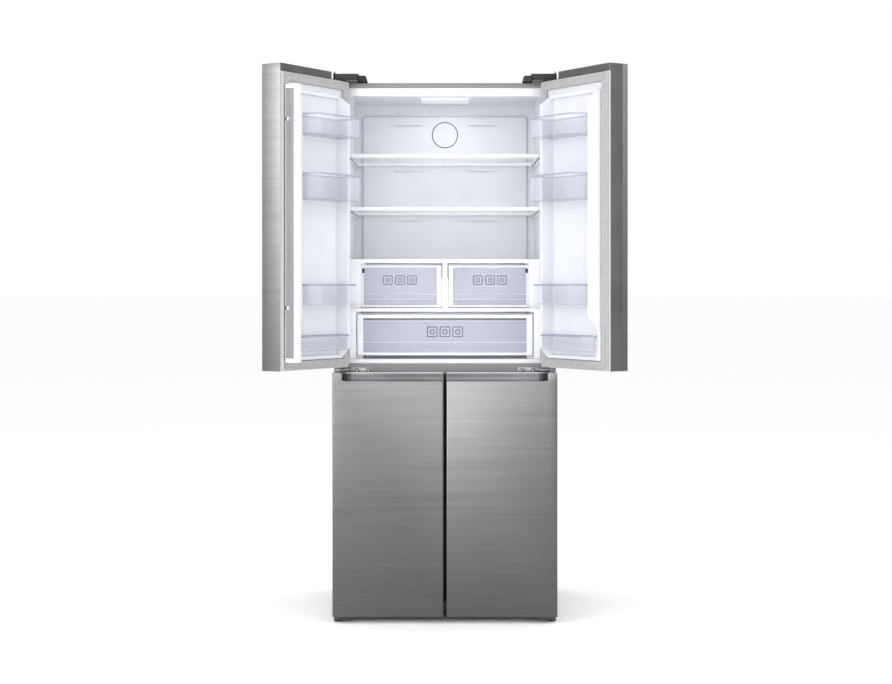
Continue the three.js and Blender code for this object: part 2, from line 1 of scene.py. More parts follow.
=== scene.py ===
# %% [markdown]
# # A tall four-door refrigerator
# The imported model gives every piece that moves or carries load: cabinet, doors, drawers, hinges.
# This lesson builds the looks around it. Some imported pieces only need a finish; others are modelled
# again with rounded corners, ribs and trims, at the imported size, and stand in for them.

import json
import math

import bmesh
import bpy
from mathutils import Matrix, Vector


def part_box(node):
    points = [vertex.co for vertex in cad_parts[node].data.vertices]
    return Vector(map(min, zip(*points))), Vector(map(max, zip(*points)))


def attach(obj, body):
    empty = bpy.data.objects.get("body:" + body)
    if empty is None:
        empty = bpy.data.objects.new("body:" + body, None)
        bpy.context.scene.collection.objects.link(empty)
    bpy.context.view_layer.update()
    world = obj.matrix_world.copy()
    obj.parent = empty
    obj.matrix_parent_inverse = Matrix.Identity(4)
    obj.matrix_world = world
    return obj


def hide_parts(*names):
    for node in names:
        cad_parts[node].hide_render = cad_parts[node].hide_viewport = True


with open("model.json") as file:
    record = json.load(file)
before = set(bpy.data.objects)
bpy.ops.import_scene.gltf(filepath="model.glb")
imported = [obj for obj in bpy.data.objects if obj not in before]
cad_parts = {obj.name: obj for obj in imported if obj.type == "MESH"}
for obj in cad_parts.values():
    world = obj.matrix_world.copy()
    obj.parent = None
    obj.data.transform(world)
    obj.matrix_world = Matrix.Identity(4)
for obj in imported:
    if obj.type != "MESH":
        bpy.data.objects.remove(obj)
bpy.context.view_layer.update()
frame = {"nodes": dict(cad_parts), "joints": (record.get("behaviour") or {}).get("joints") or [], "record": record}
nodes = frame["nodes"]

# %% [markdown]
# The doors turn about their hinge lines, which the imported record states. A door is easiest to model
# closed, square to the axes, and then swing open. So here are the hinge lines and the open angle.

# %% Hinge lines and the opening of the upper doors
joints = {joint["name"]: joint for joint in frame["joints"]}
SIDES = {"left": -1, "right": 1}
hinge_line = Vector(joints["upper_door_right_hinge"]["pos_m"])
door_opening = math.radians(-joints["upper_door_right_hinge"]["range_deg"][0])
print("hinge line", hinge_line.x, hinge_line.y, "open by", round(math.degrees(door_opening), 1))

# %% [markdown]
# ## Camera, floor and light
# A catalogue view: the camera stands level, six metres in front of the doors, a little above half
# height. The lens is a long one, so uprights stay upright, and a small upward shift of the frame
# replaces tilting the camera.

# %% Camera
CAMERA_DISTANCE = 6.0
CAMERA_HEIGHT = 1.19
FOCAL_LENGTH = 68.69
SENSOR_WIDTH = 36.0
FRAME_SHIFT = (0.0012, -0.0617)

front_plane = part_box("lower_door_left_skin")[0].y
bpy.ops.object.camera_add(
    location=(0, front_plane - CAMERA_DISTANCE, CAMERA_HEIGHT), rotation=(math.pi / 2, 0, 0)
)
camera = bpy.context.object
camera.data.lens = FOCAL_LENGTH
camera.data.sensor_width = SENSOR_WIDTH
camera.data.shift_x, camera.data.shift_y = FRAME_SHIFT
bpy.context.scene.camera = camera
print("camera at", tuple(round(c, 3) for c in camera.location))

# %% [markdown]
# The floor is a plain pale sheet in a white room. Brushed steel shows whatever is in front of it, and
# an all-white room would make it look like paper. So reflections meet a dim room and a dark carpet,
# as a studio's black flags would give, while everything matt gets the full white light.

# %% Floor: pale to the eye, dark in reflections
FLOOR_SIZE = 400.0
FLOOR_TONE = 0.99
FLOOR_IN_REFLECTIONS = 0.16

bpy.ops.mesh.primitive_plane_add(size=FLOOR_SIZE, location=(0, 0, 0))
floor = bpy.context.object
floor.name = "floor"
floor_paint = bpy.data.materials.new("floor_paint")
floor_paint.use_nodes = True
floor_tree = floor_paint.node_tree
floor_shader = floor_tree.nodes["Principled BSDF"]
floor_shader.inputs["Roughness"].default_value = 0.9
floor_shader.inputs["Specular IOR Level"].default_value = 0.0
floor_ray = floor_tree.nodes.new("ShaderNodeLightPath")
floor_tone = floor_tree.nodes.new("ShaderNodeMix")
floor_tone.data_type = "RGBA"
floor_tone.inputs["A"].default_value = (FLOOR_TONE, FLOOR_TONE, FLOOR_TONE, 1)
floor_tone.inputs["B"].default_value = (FLOOR_IN_REFLECTIONS,) * 3 + (1,)
floor_tree.links.new(floor_ray.outputs["Is Glossy Ray"], floor_tone.inputs["Factor"])
floor_tree.links.new(floor_tone.outputs["Result"], floor_shader.inputs["Base Color"])
floor.data.materials.append(floor_paint)

# %% The room: white, but dim in reflections
ROOM_LIGHT = 1.0
ROOM_IN_REFLECTIONS = 0.44
ROOM_COLOUR = (0.97, 0.985, 1.0, 1)

world = bpy.data.worlds.new("studio")
bpy.context.scene.world = world
world.use_nodes = True
room = world.node_tree
ray = room.nodes.new("ShaderNodeLightPath")
diffuse_light = room.nodes["Background"]
diffuse_light.inputs["Color"].default_value = ROOM_COLOUR
diffuse_light.inputs["Strength"].default_value = ROOM_LIGHT
dim_light = room.nodes.new("ShaderNodeBackground")
dim_light.inputs["Color"].default_value = ROOM_COLOUR
dim_light.inputs["Strength"].default_value = ROOM_IN_REFLECTIONS
white_light = room.nodes.new("ShaderNodeBackground")
white_light.inputs["Color"].default_value = (1, 1, 1, 1)
for_reflections = room.nodes.new("ShaderNodeMixShader")
for_camera = room.nodes.new("ShaderNodeMixShader")
room.links.new(ray.outputs["Is Glossy Ray"], for_reflections.inputs["Fac"])
room.links.new(diffuse_light.outputs["Background"], for_reflections.inputs[1])
room.links.new(dim_light.outputs["Background"], for_reflections.inputs[2])
room.links.new(ray.outputs["Is Camera Ray"], for_camera.inputs["Fac"])
room.links.new(for_reflections.outputs["Shader"], for_camera.inputs[1])
room.links.new(white_light.outputs["Background"], for_camera.inputs[2])
room.links.new(for_camera.outputs["Shader"], room.nodes["World Output"].inputs["Surface"])
bpy.context.scene.view_settings.view_transform = "Standard"

# %% [markdown]
# A wide softbox stands above the camera on the left. Brushed steel stretches its reflection up and
# down, so the doors run from light at the top to dark at the bottom. Narrow ones at both sides mark
# the door edges. Two fills light matt surfaces only and are left out of reflections. Inside the fresh
# food space, one strip below the ceiling and one in each level light the back wall and the drawers.


# %% Softboxes
def softbox(name, place, target, width, tall, watts, in_reflections=True):
    """A rectangular studio lamp at place that shines towards target."""
    light = bpy.data.lights.new(name, "AREA")
    light.shape = "RECTANGLE"
    light.size = width
    light.size_y = tall
    light.energy = watts
    lamp = bpy.data.objects.new(name, light)
    lamp.location = place
    lamp.rotation_euler = (Vector(target) - Vector(place)).to_track_quat("-Z", "Y").to_euler()
    lamp.visible_glossy = in_reflections
    lamp.visible_camera = False
    bpy.context.scene.collection.objects.link(lamp)


softbox("roof_softbox", (0, 0.4, 4.6), (0, 0.3, 0), 6.0, 5.0, 60)
softbox("front_softbox", (-2.3, -4.3, 2.3), (-1.4, 0, 1.1), 5.6, 1.5, 44)
softbox("left_softbox", (-3.4, -2.6, 1.9), (0, 0, 1.1), 1.4, 3.0, 12)
softbox("left_near_softbox", (-1.7, -2.6, 1.3), (-0.2, -0.2, 0.9), 0.8, 2.2, 13)
softbox("right_fill", (2.3, -3.2, 1.6), (-0.2, 0, 1.4), 1.5, 2.5, 21, in_reflections=False)
softbox("right_softbox", (3.4, -2.0, 2.1), (0, 0, 1.3), 1.2, 2.2, 4)
softbox("fill", (0, -5.0, 1.5), (0, 0.3, 1.4), 3.0, 3.0, 26, in_reflections=False)

# %% Lights inside the fresh food space
LAMP_GAP = 0.004
LAMP_WATTS = 0.25
STRIP_WIDTH = 0.56
STRIP_TALL = 0.02
STRIP_FALL = 0.25

lamp_low, lamp_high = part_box("ceiling_lamp")
lamp_middle = (lamp_low + lamp_high) / 2
softbox(
    "compartment_light",
    (0, lamp_middle.y, lamp_low.z - LAMP_GAP),
    (0, lamp_middle.y, 0),
    lamp_high.x - lamp_low.x,
    lamp_high.y - lamp_low.y,
    LAMP_WATTS,
)
# Each strip's distance behind the cabinet's front, its height and its watts.
SHELF_LIGHTS = (
    (0.02, 1.862, 0.24),
    (0.02, 1.652, 0.24),
    (0.02, 1.458, 0.30),
    (0.06, 1.262, 1.10),
    (0.02, 1.082, 0.60),
)
for place, height, watts in SHELF_LIGHTS:
    softbox(
        f"shelf_light_{height}",
        (0, place, height),
        (0, place + 1, height - STRIP_FALL),
        STRIP_WIDTH,
        STRIP_TALL,
        watts,
        in_reflections=False,
    )

# %% [markdown]
# ## Modelling helpers
# Each new piece starts as a primitive at its size and place and is then shaped in edit mode. An
# operator works on whatever is selected, so these helpers clear the selection first and pick faces
# and edges by where they are and which way they point.

# %% Start a piece, pick its faces and edges, finish it


def only(piece):
    """Makes piece the one selected, active object, in object mode."""
    if bpy.context.object and bpy.context.object.mode != "OBJECT":
        bpy.ops.object.mode_set(mode="OBJECT")
    bpy.ops.object.select_all(action="DESELECT")
    if piece is not None:
        piece.select_set(True)
        bpy.context.view_layer.objects.active = piece


def settle():
    """Puts the active object's place, turn and size into its mesh."""
    bpy.ops.object.transform_apply(location=True, rotation=True, scale=True)


def start_box(name, corner, other):
    """A box between two corners, in any order."""
    low = Vector(map(min, corner, other))
    high = Vector(map(max, corner, other))
    only(None)
    bpy.ops.mesh.primitive_cube_add(size=1, location=(low + high) / 2)
    piece = bpy.context.object
    piece.name = name
    piece.scale = high - low
    settle()
    return piece


def pick(piece, kind, test):
    """In edit mode, selects the faces, edges or corners that pass test(centre, direction)."""
    only(piece)
    bpy.ops.object.mode_set(mode="EDIT")
    bpy.ops.mesh.select_mode(type=kind)
    bpy.ops.mesh.select_all(action="DESELECT")
    mesh = bmesh.from_edit_mesh(piece.data)
    mesh.normal_update()
    found = 0
    for item in {"FACE": mesh.faces, "EDGE": mesh.edges, "VERT": mesh.verts}[kind]:
        if kind == "FACE":
            centre, way = item.calc_center_median(), item.normal
        elif kind == "EDGE":
            first, second = (corner.co for corner in item.verts)
            centre, way = (first + second) / 2, (second - first).normalized()
        else:
            centre, way = item.co, item.normal
        if test(centre, way):
            item.select_set(True)
            found += 1
    mesh.select_flush_mode()
    bmesh.update_edit_mesh(piece.data)
    return found


def anything(centre, way):
    return True


def upright(centre, way):
    return abs(way.z) > 0.9


def front_to_back(centre, way):
    return abs(way.y) > 0.9


def side_to_side(centre, way):
    return abs(way.x) > 0.9


def faces_up(centre, way):
    return way.z > 0.9


def faces_front(centre, way):
    return way.y < -0.9


def round_edges(piece, radius, segments, test):
    pick(piece, "EDGE", test)
    bpy.ops.mesh.bevel(offset=radius, offset_type="OFFSET", segments=segments, affect="EDGES")


def remove_faces(piece, test):
    pick(piece, "FACE", test)
    bpy.ops.mesh.delete(type="FACE")


def leave_outline(piece, width):
    """Takes the middle out of a flat shape; a line of the given width is left."""
    pick(piece, "FACE", anything)
    bpy.ops.mesh.inset(thickness=width)
    bpy.ops.mesh.delete(type="FACE")


def cut_across(piece, point, way, clear=False):
    """Cuts the whole mesh along a plane; with clear, what lies on the plane's far side is removed."""
    only(piece)
    bpy.ops.object.mode_set(mode="EDIT")
    bpy.ops.mesh.select_all(action="SELECT")
    bpy.ops.mesh.bisect(plane_co=point, plane_no=way, use_fill=clear, clear_outer=clear)


def push(step):
    """Extrudes the selected faces or edges by step."""
    bpy.ops.mesh.extrude_region_move(TRANSFORM_OT_translate={"value": step})


def apply_modifier(piece, kind, **settings):
    only(piece)
    modifier = piece.modifiers.new(kind.lower(), kind)
    for key, value in settings.items():
        setattr(modifier, key, value)
    bpy.ops.object.modifier_apply(modifier=modifier.name)


def give_wall(piece, thickness):
    """Turns a sheet into a wall; the thickness grows to the inside of the faces."""
    apply_modifier(piece, "SOLIDIFY", thickness=thickness, offset=-1, use_even_offset=True)


def soften(piece, radius, segments=2):
    """Rounds every sharp edge by a small radius."""
    apply_modifier(
        piece, "BEVEL", width=radius, segments=segments, limit_method="ANGLE", harden_normals=False
    )


def join(name, parts):
    """Several shapes that belong to one moulding become one object."""
    only(parts[0])
    for other in parts[1:]:
        other.select_set(True)
    bpy.ops.object.join()
    parts[0].name = name
    return parts[0]


def finish_piece(piece, material, slot, body, *stands_for):
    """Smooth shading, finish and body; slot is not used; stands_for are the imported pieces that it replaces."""
    only(piece)
    bpy.ops.object.shade_smooth_by_angle(angle=math.radians(35))
    if not piece.data.materials:
        piece.data.materials.append(material)
    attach(piece, body)
    if stands_for:
        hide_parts(*stands_for)
    print(f"{piece.name}: {len(piece.data.polygons)} faces on {body}")


# %% [markdown]
# ## Finishes
# Every finish is built from nodes. A noise pattern, stretched along one direction or left even, drives
# three things: small changes of colour, changes of roughness, and a shallow relief. Patterns read
# Object coordinates, which are the refrigerator's own metres here, so a grain has its real size.

# %% Tools for finishes


def start_material(name, colour, roughness, metallic=0.0, alpha=1.0):
    material = bpy.data.materials.new(name)
    material.use_nodes = True
    inputs = material.node_tree.nodes["Principled BSDF"].inputs
    inputs["Base Color"].default_value = (*colour, 1)
    inputs["Roughness"].default_value = roughness
    inputs["Metallic"].default_value = metallic
    inputs["Alpha"].default_value = alpha
    return material


def pattern(material, per_metre, detail=4.0, distortion=0.0):
    """A noise pattern with its own number of spots per metre along x, y and z."""
    tree = material.node_tree
    place = tree.nodes.new("ShaderNodeTexCoord")
    stretch = tree.nodes.new("ShaderNodeMapping")
    stretch.inputs["Scale"].default_value = per_metre
    noise = tree.nodes.new("ShaderNodeTexNoise")
    noise.inputs["Scale"].default_value = 1.0
    noise.inputs["Detail"].default_value = detail
    noise.inputs["Distortion"].default_value = distortion
    tree.links.new(place.outputs["Object"], stretch.inputs["Vector"])
    tree.links.new(stretch.outputs["Vector"], noise.inputs["Vector"])
    return noise.outputs["Fac"]


def vary_roughness(material, source, low, high):
    tree = material.node_tree
    spread = tree.nodes.new("ShaderNodeMapRange")
    spread.inputs["From Min"].default_value = 0.3
    spread.inputs["From Max"].default_value = 0.7
    spread.inputs["To Min"].default_value = low
    spread.inputs["To Max"].default_value = high
    tree.links.new(source, spread.inputs["Value"])
    tree.links.new(spread.outputs["Result"], tree.nodes["Principled BSDF"].inputs["Roughness"])


def vary_colour(material, source, stops):
    """stops are (place on the pattern, colour)."""
    tree = material.node_tree
    ramp = tree.nodes.new("ShaderNodeValToRGB")
    elements = ramp.color_ramp.elements
    while len(elements) < len(stops):
        elements.new(0.5)
    for element, (place, colour) in zip(elements, stops):
        element.position = place
        element.color = (*colour, 1)
    tree.links.new(source, ramp.inputs["Fac"])
    tree.links.new(ramp.outputs["Color"], tree.nodes["Principled BSDF"].inputs["Base Color"])


def emboss(material, source, depth, strength=1.0):
    """A relief of the given depth in metres. A second call adds its relief to the first."""
    tree = material.node_tree
    normal = tree.nodes["Principled BSDF"].inputs["Normal"]
    bump = tree.nodes.new("ShaderNodeBump")
    bump.inputs["Distance"].default_value = depth
    bump.inputs["Strength"].default_value = strength
    tree.links.new(source, bump.inputs["Height"])
    if normal.links:
        tree.links.new(normal.links[0].from_socket, bump.inputs["Normal"])
    tree.links.new(bump.outputs["Normal"], normal)


def grey(value, blue=0.0):
    return (value, value * (1 + blue / 2), value * (1 + blue))


# %% [markdown]
# **Door steel.** The fronts are stainless sheet, ground in long, slightly wavy strokes that all run
# level. Two patterns make it: a fine hair grain, hundreds of lines to the metre, and a few broad
# strokes a hand's width long that catch the light. Both are level whichever way the door faces,
# because they change fast with height only.

# %% Brushed door steel
door_steel = start_material("door_steel", grey(0.55, 0.02), 0.34, metallic=1.0)
hairs = pattern(door_steel, (5, 5, 900), detail=3)
strokes = pattern(door_steel, (2.6, 2.6, 75), detail=5, distortion=0.35)
stroke_tones = [
    (0.30, grey(0.52, 0.03)),
    (0.45, grey(0.57, 0.03)),
    (0.60, grey(0.59, 0.02)),
    (0.74, grey(0.63, 0.02)),
]
vary_colour(door_steel, strokes, stroke_tones)
vary_roughness(door_steel, hairs, 0.40, 0.50)
emboss(door_steel, strokes, 0.0009, 0.14)
emboss(door_steel, hairs, 0.00006, 0.5)

# %% [markdown]
# **Cabinet steel.** The sides, roof and face frame are painted sheet in silver grey. Sprayed paint has
# a faint orange-peel relief.

# %% Painted cabinet steel
cabinet_steel = start_material("cabinet_steel", grey(0.27, 0.03), 0.38, metallic=0.35)
peel = pattern(cabinet_steel, (420, 420, 420), detail=2)
clouds = pattern(cabinet_steel, (5, 5, 5), detail=3)
vary_colour(cabinet_steel, clouds, [(0.3, grey(0.26, 0.03)), (0.7, grey(0.28, 0.03))])
vary_roughness(cabinet_steel, clouds, 0.37, 0.42)
emboss(cabinet_steel, peel, 0.00012, 0.4)

# %% [markdown]
# **White liner.** Inside, everything is polystyrene with a soft sheen: vacuum-formed liners and
# moulded frames. It is a cool white, never quite even.

# %% White liner plastic
white_liner = start_material("white_liner", (0.74, 0.75, 0.79), 0.36)
sheen = pattern(white_liner, (9, 9, 9), detail=3)
pebble = pattern(white_liner, (1500, 1500, 1500), detail=1)
vary_colour(white_liner, sheen, [(0.3, (0.725, 0.735, 0.775)), (0.7, (0.765, 0.77, 0.80))])
vary_roughness(white_liner, sheen, 0.28, 0.42)
emboss(white_liner, pebble, 0.00003, 0.35)

trim_white = start_material("trim_white", (0.88, 0.885, 0.90), 0.22)
trim_sheen = pattern(trim_white, (14, 14, 14), detail=2)
vary_colour(trim_white, trim_sheen, [(0.3, (0.865, 0.87, 0.89)), (0.7, (0.90, 0.905, 0.915))])
vary_roughness(trim_white, trim_sheen, 0.17, 0.28)

# %% [markdown]
# **Clear plastic.** Bins and drawers are clear polystyrene with a breath of lavender. Seen edge-on a
# wall is much denser than face-on, so rims and feet get a second, denser finish.

# %% Clear drawer and bin plastic
clear_plastic = start_material("clear_plastic", (0.76, 0.78, 0.90), 0.12, alpha=0.26)
flow = pattern(clear_plastic, (22, 22, 6), detail=3, distortion=0.4)
vary_roughness(clear_plastic, flow, 0.06, 0.20)
emboss(clear_plastic, flow, 0.0006, 0.25)

bin_plastic = start_material("bin_plastic", (0.78, 0.81, 0.90), 0.10, alpha=0.15)
bin_flow = pattern(bin_plastic, (18, 18, 8), detail=3, distortion=0.4)
vary_roughness(bin_plastic, bin_flow, 0.05, 0.17)
emboss(bin_plastic, bin_flow, 0.0005, 0.2)

clear_edge = start_material("clear_edge", (0.40, 0.42, 0.52), 0.15, alpha=0.52)
edge_flow = pattern(clear_edge, (30, 30, 30), detail=2)
vary_colour(clear_edge, edge_flow, [(0.3, (0.36, 0.38, 0.48)), (0.7, (0.45, 0.47, 0.57))])
vary_roughness(clear_edge, edge_flow, 0.10, 0.22)

frosted_edge = start_material("frosted_edge", (0.84, 0.85, 0.91), 0.3, alpha=0.86)
frost = pattern(frosted_edge, (60, 60, 60), detail=3)
vary_roughness(frosted_edge, frost, 0.22, 0.38)
vary_colour(frosted_edge, frost, [(0.3, (0.80, 0.81, 0.88)), (0.7, (0.87, 0.88, 0.93))])

shelf_glass = start_material("shelf_glass", (0.74, 0.80, 0.83), 0.05, alpha=0.20)
smears = pattern(shelf_glass, (7, 7, 7), detail=4)
vary_roughness(shelf_glass, smears, 0.03, 0.09)

# %% [markdown]
# **Rubber, dark plastics, zinc and the rest.** The gaskets are matte grey vinyl. Door caps and covers
# are dark plastic with the fine spark-eroded grain that moulds leave. Hinges and the base are
# zinc-plated steel, brushed by the rollers of the mill.

# %% Gasket, dark plastics, zinc, foam, machinery
door_gasket = start_material("door_gasket", grey(0.40), 0.62)
chalk = pattern(door_gasket, (60, 60, 60), detail=4)
vary_colour(door_gasket, chalk, [(0.3, grey(0.37)), (0.7, grey(0.43))])
vary_roughness(door_gasket, chalk, 0.55, 0.72)
emboss(door_gasket, chalk, 0.0002, 0.3)


def grained_plastic(name, tone, roughness, grain_size=0.0012):
    plastic = start_material(name, grey(tone, 0.06), roughness)
    grains = pattern(plastic, (1 / grain_size,) * 3, detail=2)
    drift_and_painted_reflection = pattern(plastic, (12, 12, 12), detail=3)
    vary_colour(plastic, drift_and_painted_reflection, [(0.3, grey(tone * 0.88, 0.06)), (0.7, grey(tone * 1.12, 0.06))])
    vary_roughness(plastic, grains, roughness - 0.08, roughness + 0.08)
    emboss(plastic, grains, 0.00008, 0.4)
    return plastic


dark_plastic = grained_plastic("dark_plastic", 0.085, 0.45)
black_plastic = grained_plastic("black_plastic", 0.028, 0.36)
# Grip steel: its colour runs from dark to light grey in broad bands along the door, a painted reflection; the draw
# lines are its grain.
grip_steel = start_material("grip_steel", grey(0.40, 0.02), 0.36, metallic=1.0)
draw_lines = pattern(grip_steel, (6, 900, 900), detail=3)
drift_and_painted_reflection = pattern(grip_steel, (3.2, 3.2, 1.0), detail=1)
vary_colour(grip_steel, drift_and_painted_reflection, [(0.35, grey(0.30, 0.02)), (0.65, grey(0.55, 0.02))])
vary_roughness(grip_steel, draw_lines, 0.30, 0.44)
emboss(grip_steel, draw_lines, 0.00005, 0.4)

zinc_steel = start_material("zinc_steel", grey(0.56, 0.02), 0.36, metallic=1.0)
rolled = pattern(zinc_steel, (30, 30, 700), detail=3)
blotches = pattern(zinc_steel, (70, 70, 70), detail=4)
vary_colour(zinc_steel, blotches, [(0.3, grey(0.48, 0.02)), (0.7, grey(0.64, 0.02))])
vary_roughness(zinc_steel, rolled, 0.28, 0.46)
emboss(zinc_steel, rolled, 0.00005, 0.4)

insulation = start_material("insulation", (0.74, 0.63, 0.36), 0.9)
cells = pattern(insulation, (500, 500, 500), detail=3)
vary_colour(insulation, cells, [(0.3, (0.66, 0.55, 0.30)), (0.7, (0.80, 0.70, 0.42))])
emboss(insulation, cells, 0.0006, 0.7)

compressor_black = start_material("compressor_black", grey(0.02), 0.4, metallic=0.3)
enamel = pattern(compressor_black, (160, 160, 160), detail=3)
vary_roughness(compressor_black, enamel, 0.30, 0.52)
emboss(compressor_black, enamel, 0.0002, 0.4)

evaporator_aluminium = start_material("evaporator_aluminium", grey(0.62, 0.02), 0.35, metallic=1.0)
fin_grain = pattern(evaporator_aluminium, (40, 900, 40), detail=3)
vary_roughness(evaporator_aluminium, fin_grain, 0.28, 0.45)
emboss(evaporator_aluminium, fin_grain, 0.00005, 0.4)

lamp_lens = start_material("lamp_lens", (0.93, 0.94, 0.96), 0.35)
prisms = pattern(lamp_lens, (260, 260, 260), detail=1)
vary_roughness(lamp_lens, prisms, 0.28, 0.42)
emboss(lamp_lens, prisms, 0.0003, 0.4)
lamp_inputs = lamp_lens.node_tree.nodes["Principled BSDF"].inputs
lamp_inputs["Emission Color"].default_value = (0.95, 0.97, 1.0, 1)
lamp_inputs["Emission Strength"].default_value = 0.10

ink = start_material("ink", grey(0.035, 0.15), 0.5)
ink_wear = pattern(ink, (300, 300, 300), detail=2)
vary_colour(ink, ink_wear, [(0.3, grey(0.025, 0.15)), (0.7, grey(0.045, 0.15))])

finishes = {
    "door_steel": door_steel,
    "cabinet_steel": cabinet_steel,
    "white_liner": white_liner,
    "clear_plastic": clear_plastic,
    "shelf_glass": shelf_glass,
    "door_gasket": door_gasket,
    "dark_plastic": dark_plastic,
    "black_plastic": black_plastic,
    "zinc_steel": zinc_steel,
    "insulation": insulation,
    "compressor_black": compressor_black,
    "evaporator_aluminium": evaporator_aluminium,
    "lamp_lens": lamp_lens,
}

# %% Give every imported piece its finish
for entry in frame["record"]["subparts"]:
    packed = nodes[entry["node"]]
    packed.data.materials.clear()
    packed.data.materials.append(finishes[entry["material_slot"]])

# %% [markdown]
# ## Doors
# All four doors share one plan: 392 mm wide, 80 mm thick. A point of a closed door is given by its
# distance along the door from the hinge line, its distance behind the hinge line, and its height.

# %% Where things are on a closed door
MM = 0.001
closed_low, closed_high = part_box("lower_door_left_skin")
DOOR_SIDE = closed_low.x + hinge_line.x
DOOR_FREE = closed_high.x + hinge_line.x
DOOR_FRONT = closed_low.y - hinge_line.y
DOOR_BACK = closed_high.y - hinge_line.y
SHEET = 1.5 * MM
DOOR_ROWS = (("upper", door_opening), ("lower", 0.0))
print("door from", round(DOOR_SIDE, 4), "to", round(DOOR_FREE, 4))
print("door thickness", round(DOOR_BACK - DOOR_FRONT, 4))


def at_door(side, along, behind, height):
    return Vector((SIDES[side] * (hinge_line.x - along), hinge_line.y + behind, height))


def along_door(side, point):
    return hinge_line.x - SIDES[side] * point.x


def behind_hinge(point):
    return point.y - hinge_line.y


def door_box(name, side, along, behind, heights):
    return start_box(
        name,
        at_door(side, along[0], behind[0], heights[0]),
        at_door(side, along[1], behind[1], heights[1]),
    )


def turn_door(piece, side, angle):
    """Turns a piece about its door's hinge line; a positive angle opens the door."""
    only(piece)
    line = Vector((SIDES[side] * hinge_line.x, hinge_line.y, 0))
    piece.matrix_world = (
        Matrix.Translation(line)
        @ Matrix.Rotation(SIDES[side] * angle, 4, "Z")
        @ Matrix.Translation(-line)
    )
    settle()


# %% [markdown]
# **Door fronts.** On the real door one sheet of steel is folded back along both uprights. A box with
# its back, top and bottom taken off is that sheet; the two front corners are rounded over 6 mm, and a
# solidify modifier gives it its thickness. The upper sheets have a notch for the top hinge, the lower
# ones end below the finger channel.

# %% Door fronts
CORNER_RADIUS = 6 * MM
HEM = 0.45 * MM
cap_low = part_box("upper_door_left_cap")[0]
HINGE_NOTCH = {"along": 76.5 * MM, "height": 1.922}
GRIP = {"from": 11 * MM, "floor": 0.857, "back": -18 * MM}


def door_front(side, row, heights):
    name = f"{row}_door_{side}"
    sheet = door_box(
        f"{name}_front", side, (DOOR_SIDE, DOOR_FREE), (DOOR_FRONT, DOOR_BACK), heights
    )
    remove_faces(sheet, lambda centre, way: way.y > 0.9 or abs(way.z) > 0.9)
    round_edges(
        sheet,
        CORNER_RADIUS,
        6,
        lambda centre, way: abs(way.z) > 0.9 and behind_hinge(centre) < DOOR_FRONT + 1 * MM,
    )
    if row == "upper":
        cut_across(sheet, (0, 0, HINGE_NOTCH["height"]), (0, 0, 1))
        cut_across(sheet, at_door(side, HINGE_NOTCH["along"], 0, 0), (1, 0, 0))
        remove_faces(
            sheet,
            lambda centre, way: centre.z > HINGE_NOTCH["height"]
            and along_door(side, centre) < HINGE_NOTCH["along"],
        )
    else:
        cut_across(sheet, (0, 0, GRIP["floor"]), (0, 0, 1))
        cut_across(sheet, at_door(side, GRIP["from"], 0, 0), (1, 0, 0))
        cut_across(sheet, at_door(side, 0, GRIP["back"], 0), (0, 1, 0))
        remove_faces(
            sheet,
            lambda centre, way: centre.z > GRIP["floor"]
            and along_door(side, centre) > GRIP["from"]
            and behind_hinge(centre) < GRIP["back"],
        )
    give_wall(sheet, SHEET)
    soften(sheet, HEM, 2)
    return sheet


for side in SIDES:
    lower = door_front(side, "lower", (closed_low.z, closed_high.z))
    finish_piece(lower, door_steel, "door_steel", f"lower_door_{side}", f"lower_door_{side}_skin")
    upper_low, upper_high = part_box(f"upper_door_{side}_skin")
    upper = door_front(side, "upper", (upper_low.z, upper_high.z))
    turn_door(upper, side, door_opening)
    finish_piece(upper, door_steel, "door_steel", f"upper_door_{side}", f"upper_door_{side}_skin")

# %% [markdown]
# **The dark end strip.** On the right door the steel covers only the front third of the free edge. The
# rest is an edge strip of the same dark plastic as the cap, with a light bead where it meets the
# inner panel. It lies on the folded sheet like a tape, about half a millimetre thick.

# %% End strip of the right door
STRIP_START = DOOR_FRONT + 25 * MM
STRIP_THICK = 0.6 * MM
STRIP_ABOVE = 0.05 * MM
BEAD_WIDTH = 2 * MM
END_GAP = 1 * MM
strip = door_box(
    "end_strip_right",
    "right",
    (DOOR_FREE + STRIP_ABOVE, DOOR_FREE + STRIP_THICK),
    (STRIP_START, DOOR_BACK - BEAD_WIDTH),
    (upper_low.z + END_GAP, upper_high.z - END_GAP),
)
round_edges(strip, 0.25 * MM, 2, lambda centre, way: abs(way.z) > 0.9 or abs(way.y) > 0.9)
turn_door(strip, "right", door_opening)
finish_piece(strip, dark_plastic, "dark_plastic", "upper_door_right")

bead = door_box(
    "end_bead_right",
    "right",
    (DOOR_FREE + STRIP_ABOVE, DOOR_FREE + 2 * STRIP_THICK),
    (DOOR_BACK - BEAD_WIDTH, DOOR_BACK + 0.1 * MM),
    (upper_low.z + END_GAP, cap_low.z),
)
round_edges(bead, 0.3 * MM, 2, upright)
turn_door(bead, "right", door_opening)
finish_piece(bead, trim_white, "white_liner", "upper_door_right")

# %% [markdown]
# **Inner panels.** Behind each front sits a vacuum-formed panel. Two upright walls, the dikes, stand
# out of it and carry the bins between them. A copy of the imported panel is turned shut, so that the
# dikes lie square, their edges are rounded as hot plastic rounds over its mould, and the copy is
# turned open again.

# %% Inner panels with rounded dikes
DIKE_RADIUS = 4.5 * MM
PANEL_LIP = 1 * MM
ARMS_FROM = 337 * MM


def plain_copy(node, name):
    """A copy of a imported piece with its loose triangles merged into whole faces."""
    piece = bpy.data.objects.new(name, nodes[node].data.copy())
    bpy.context.scene.collection.objects.link(piece)
    piece.data.materials.clear()
    only(piece)
    bpy.ops.object.mode_set(mode="EDIT")
    bpy.ops.mesh.select_all(action="SELECT")
    bpy.ops.mesh.remove_doubles(threshold=1e-5)
    bpy.ops.mesh.dissolve_limited(angle_limit=math.radians(1))
    bpy.ops.object.mode_set(mode="OBJECT")
    bpy.ops.mesh.customdata_custom_splitnormals_clear()
    return piece


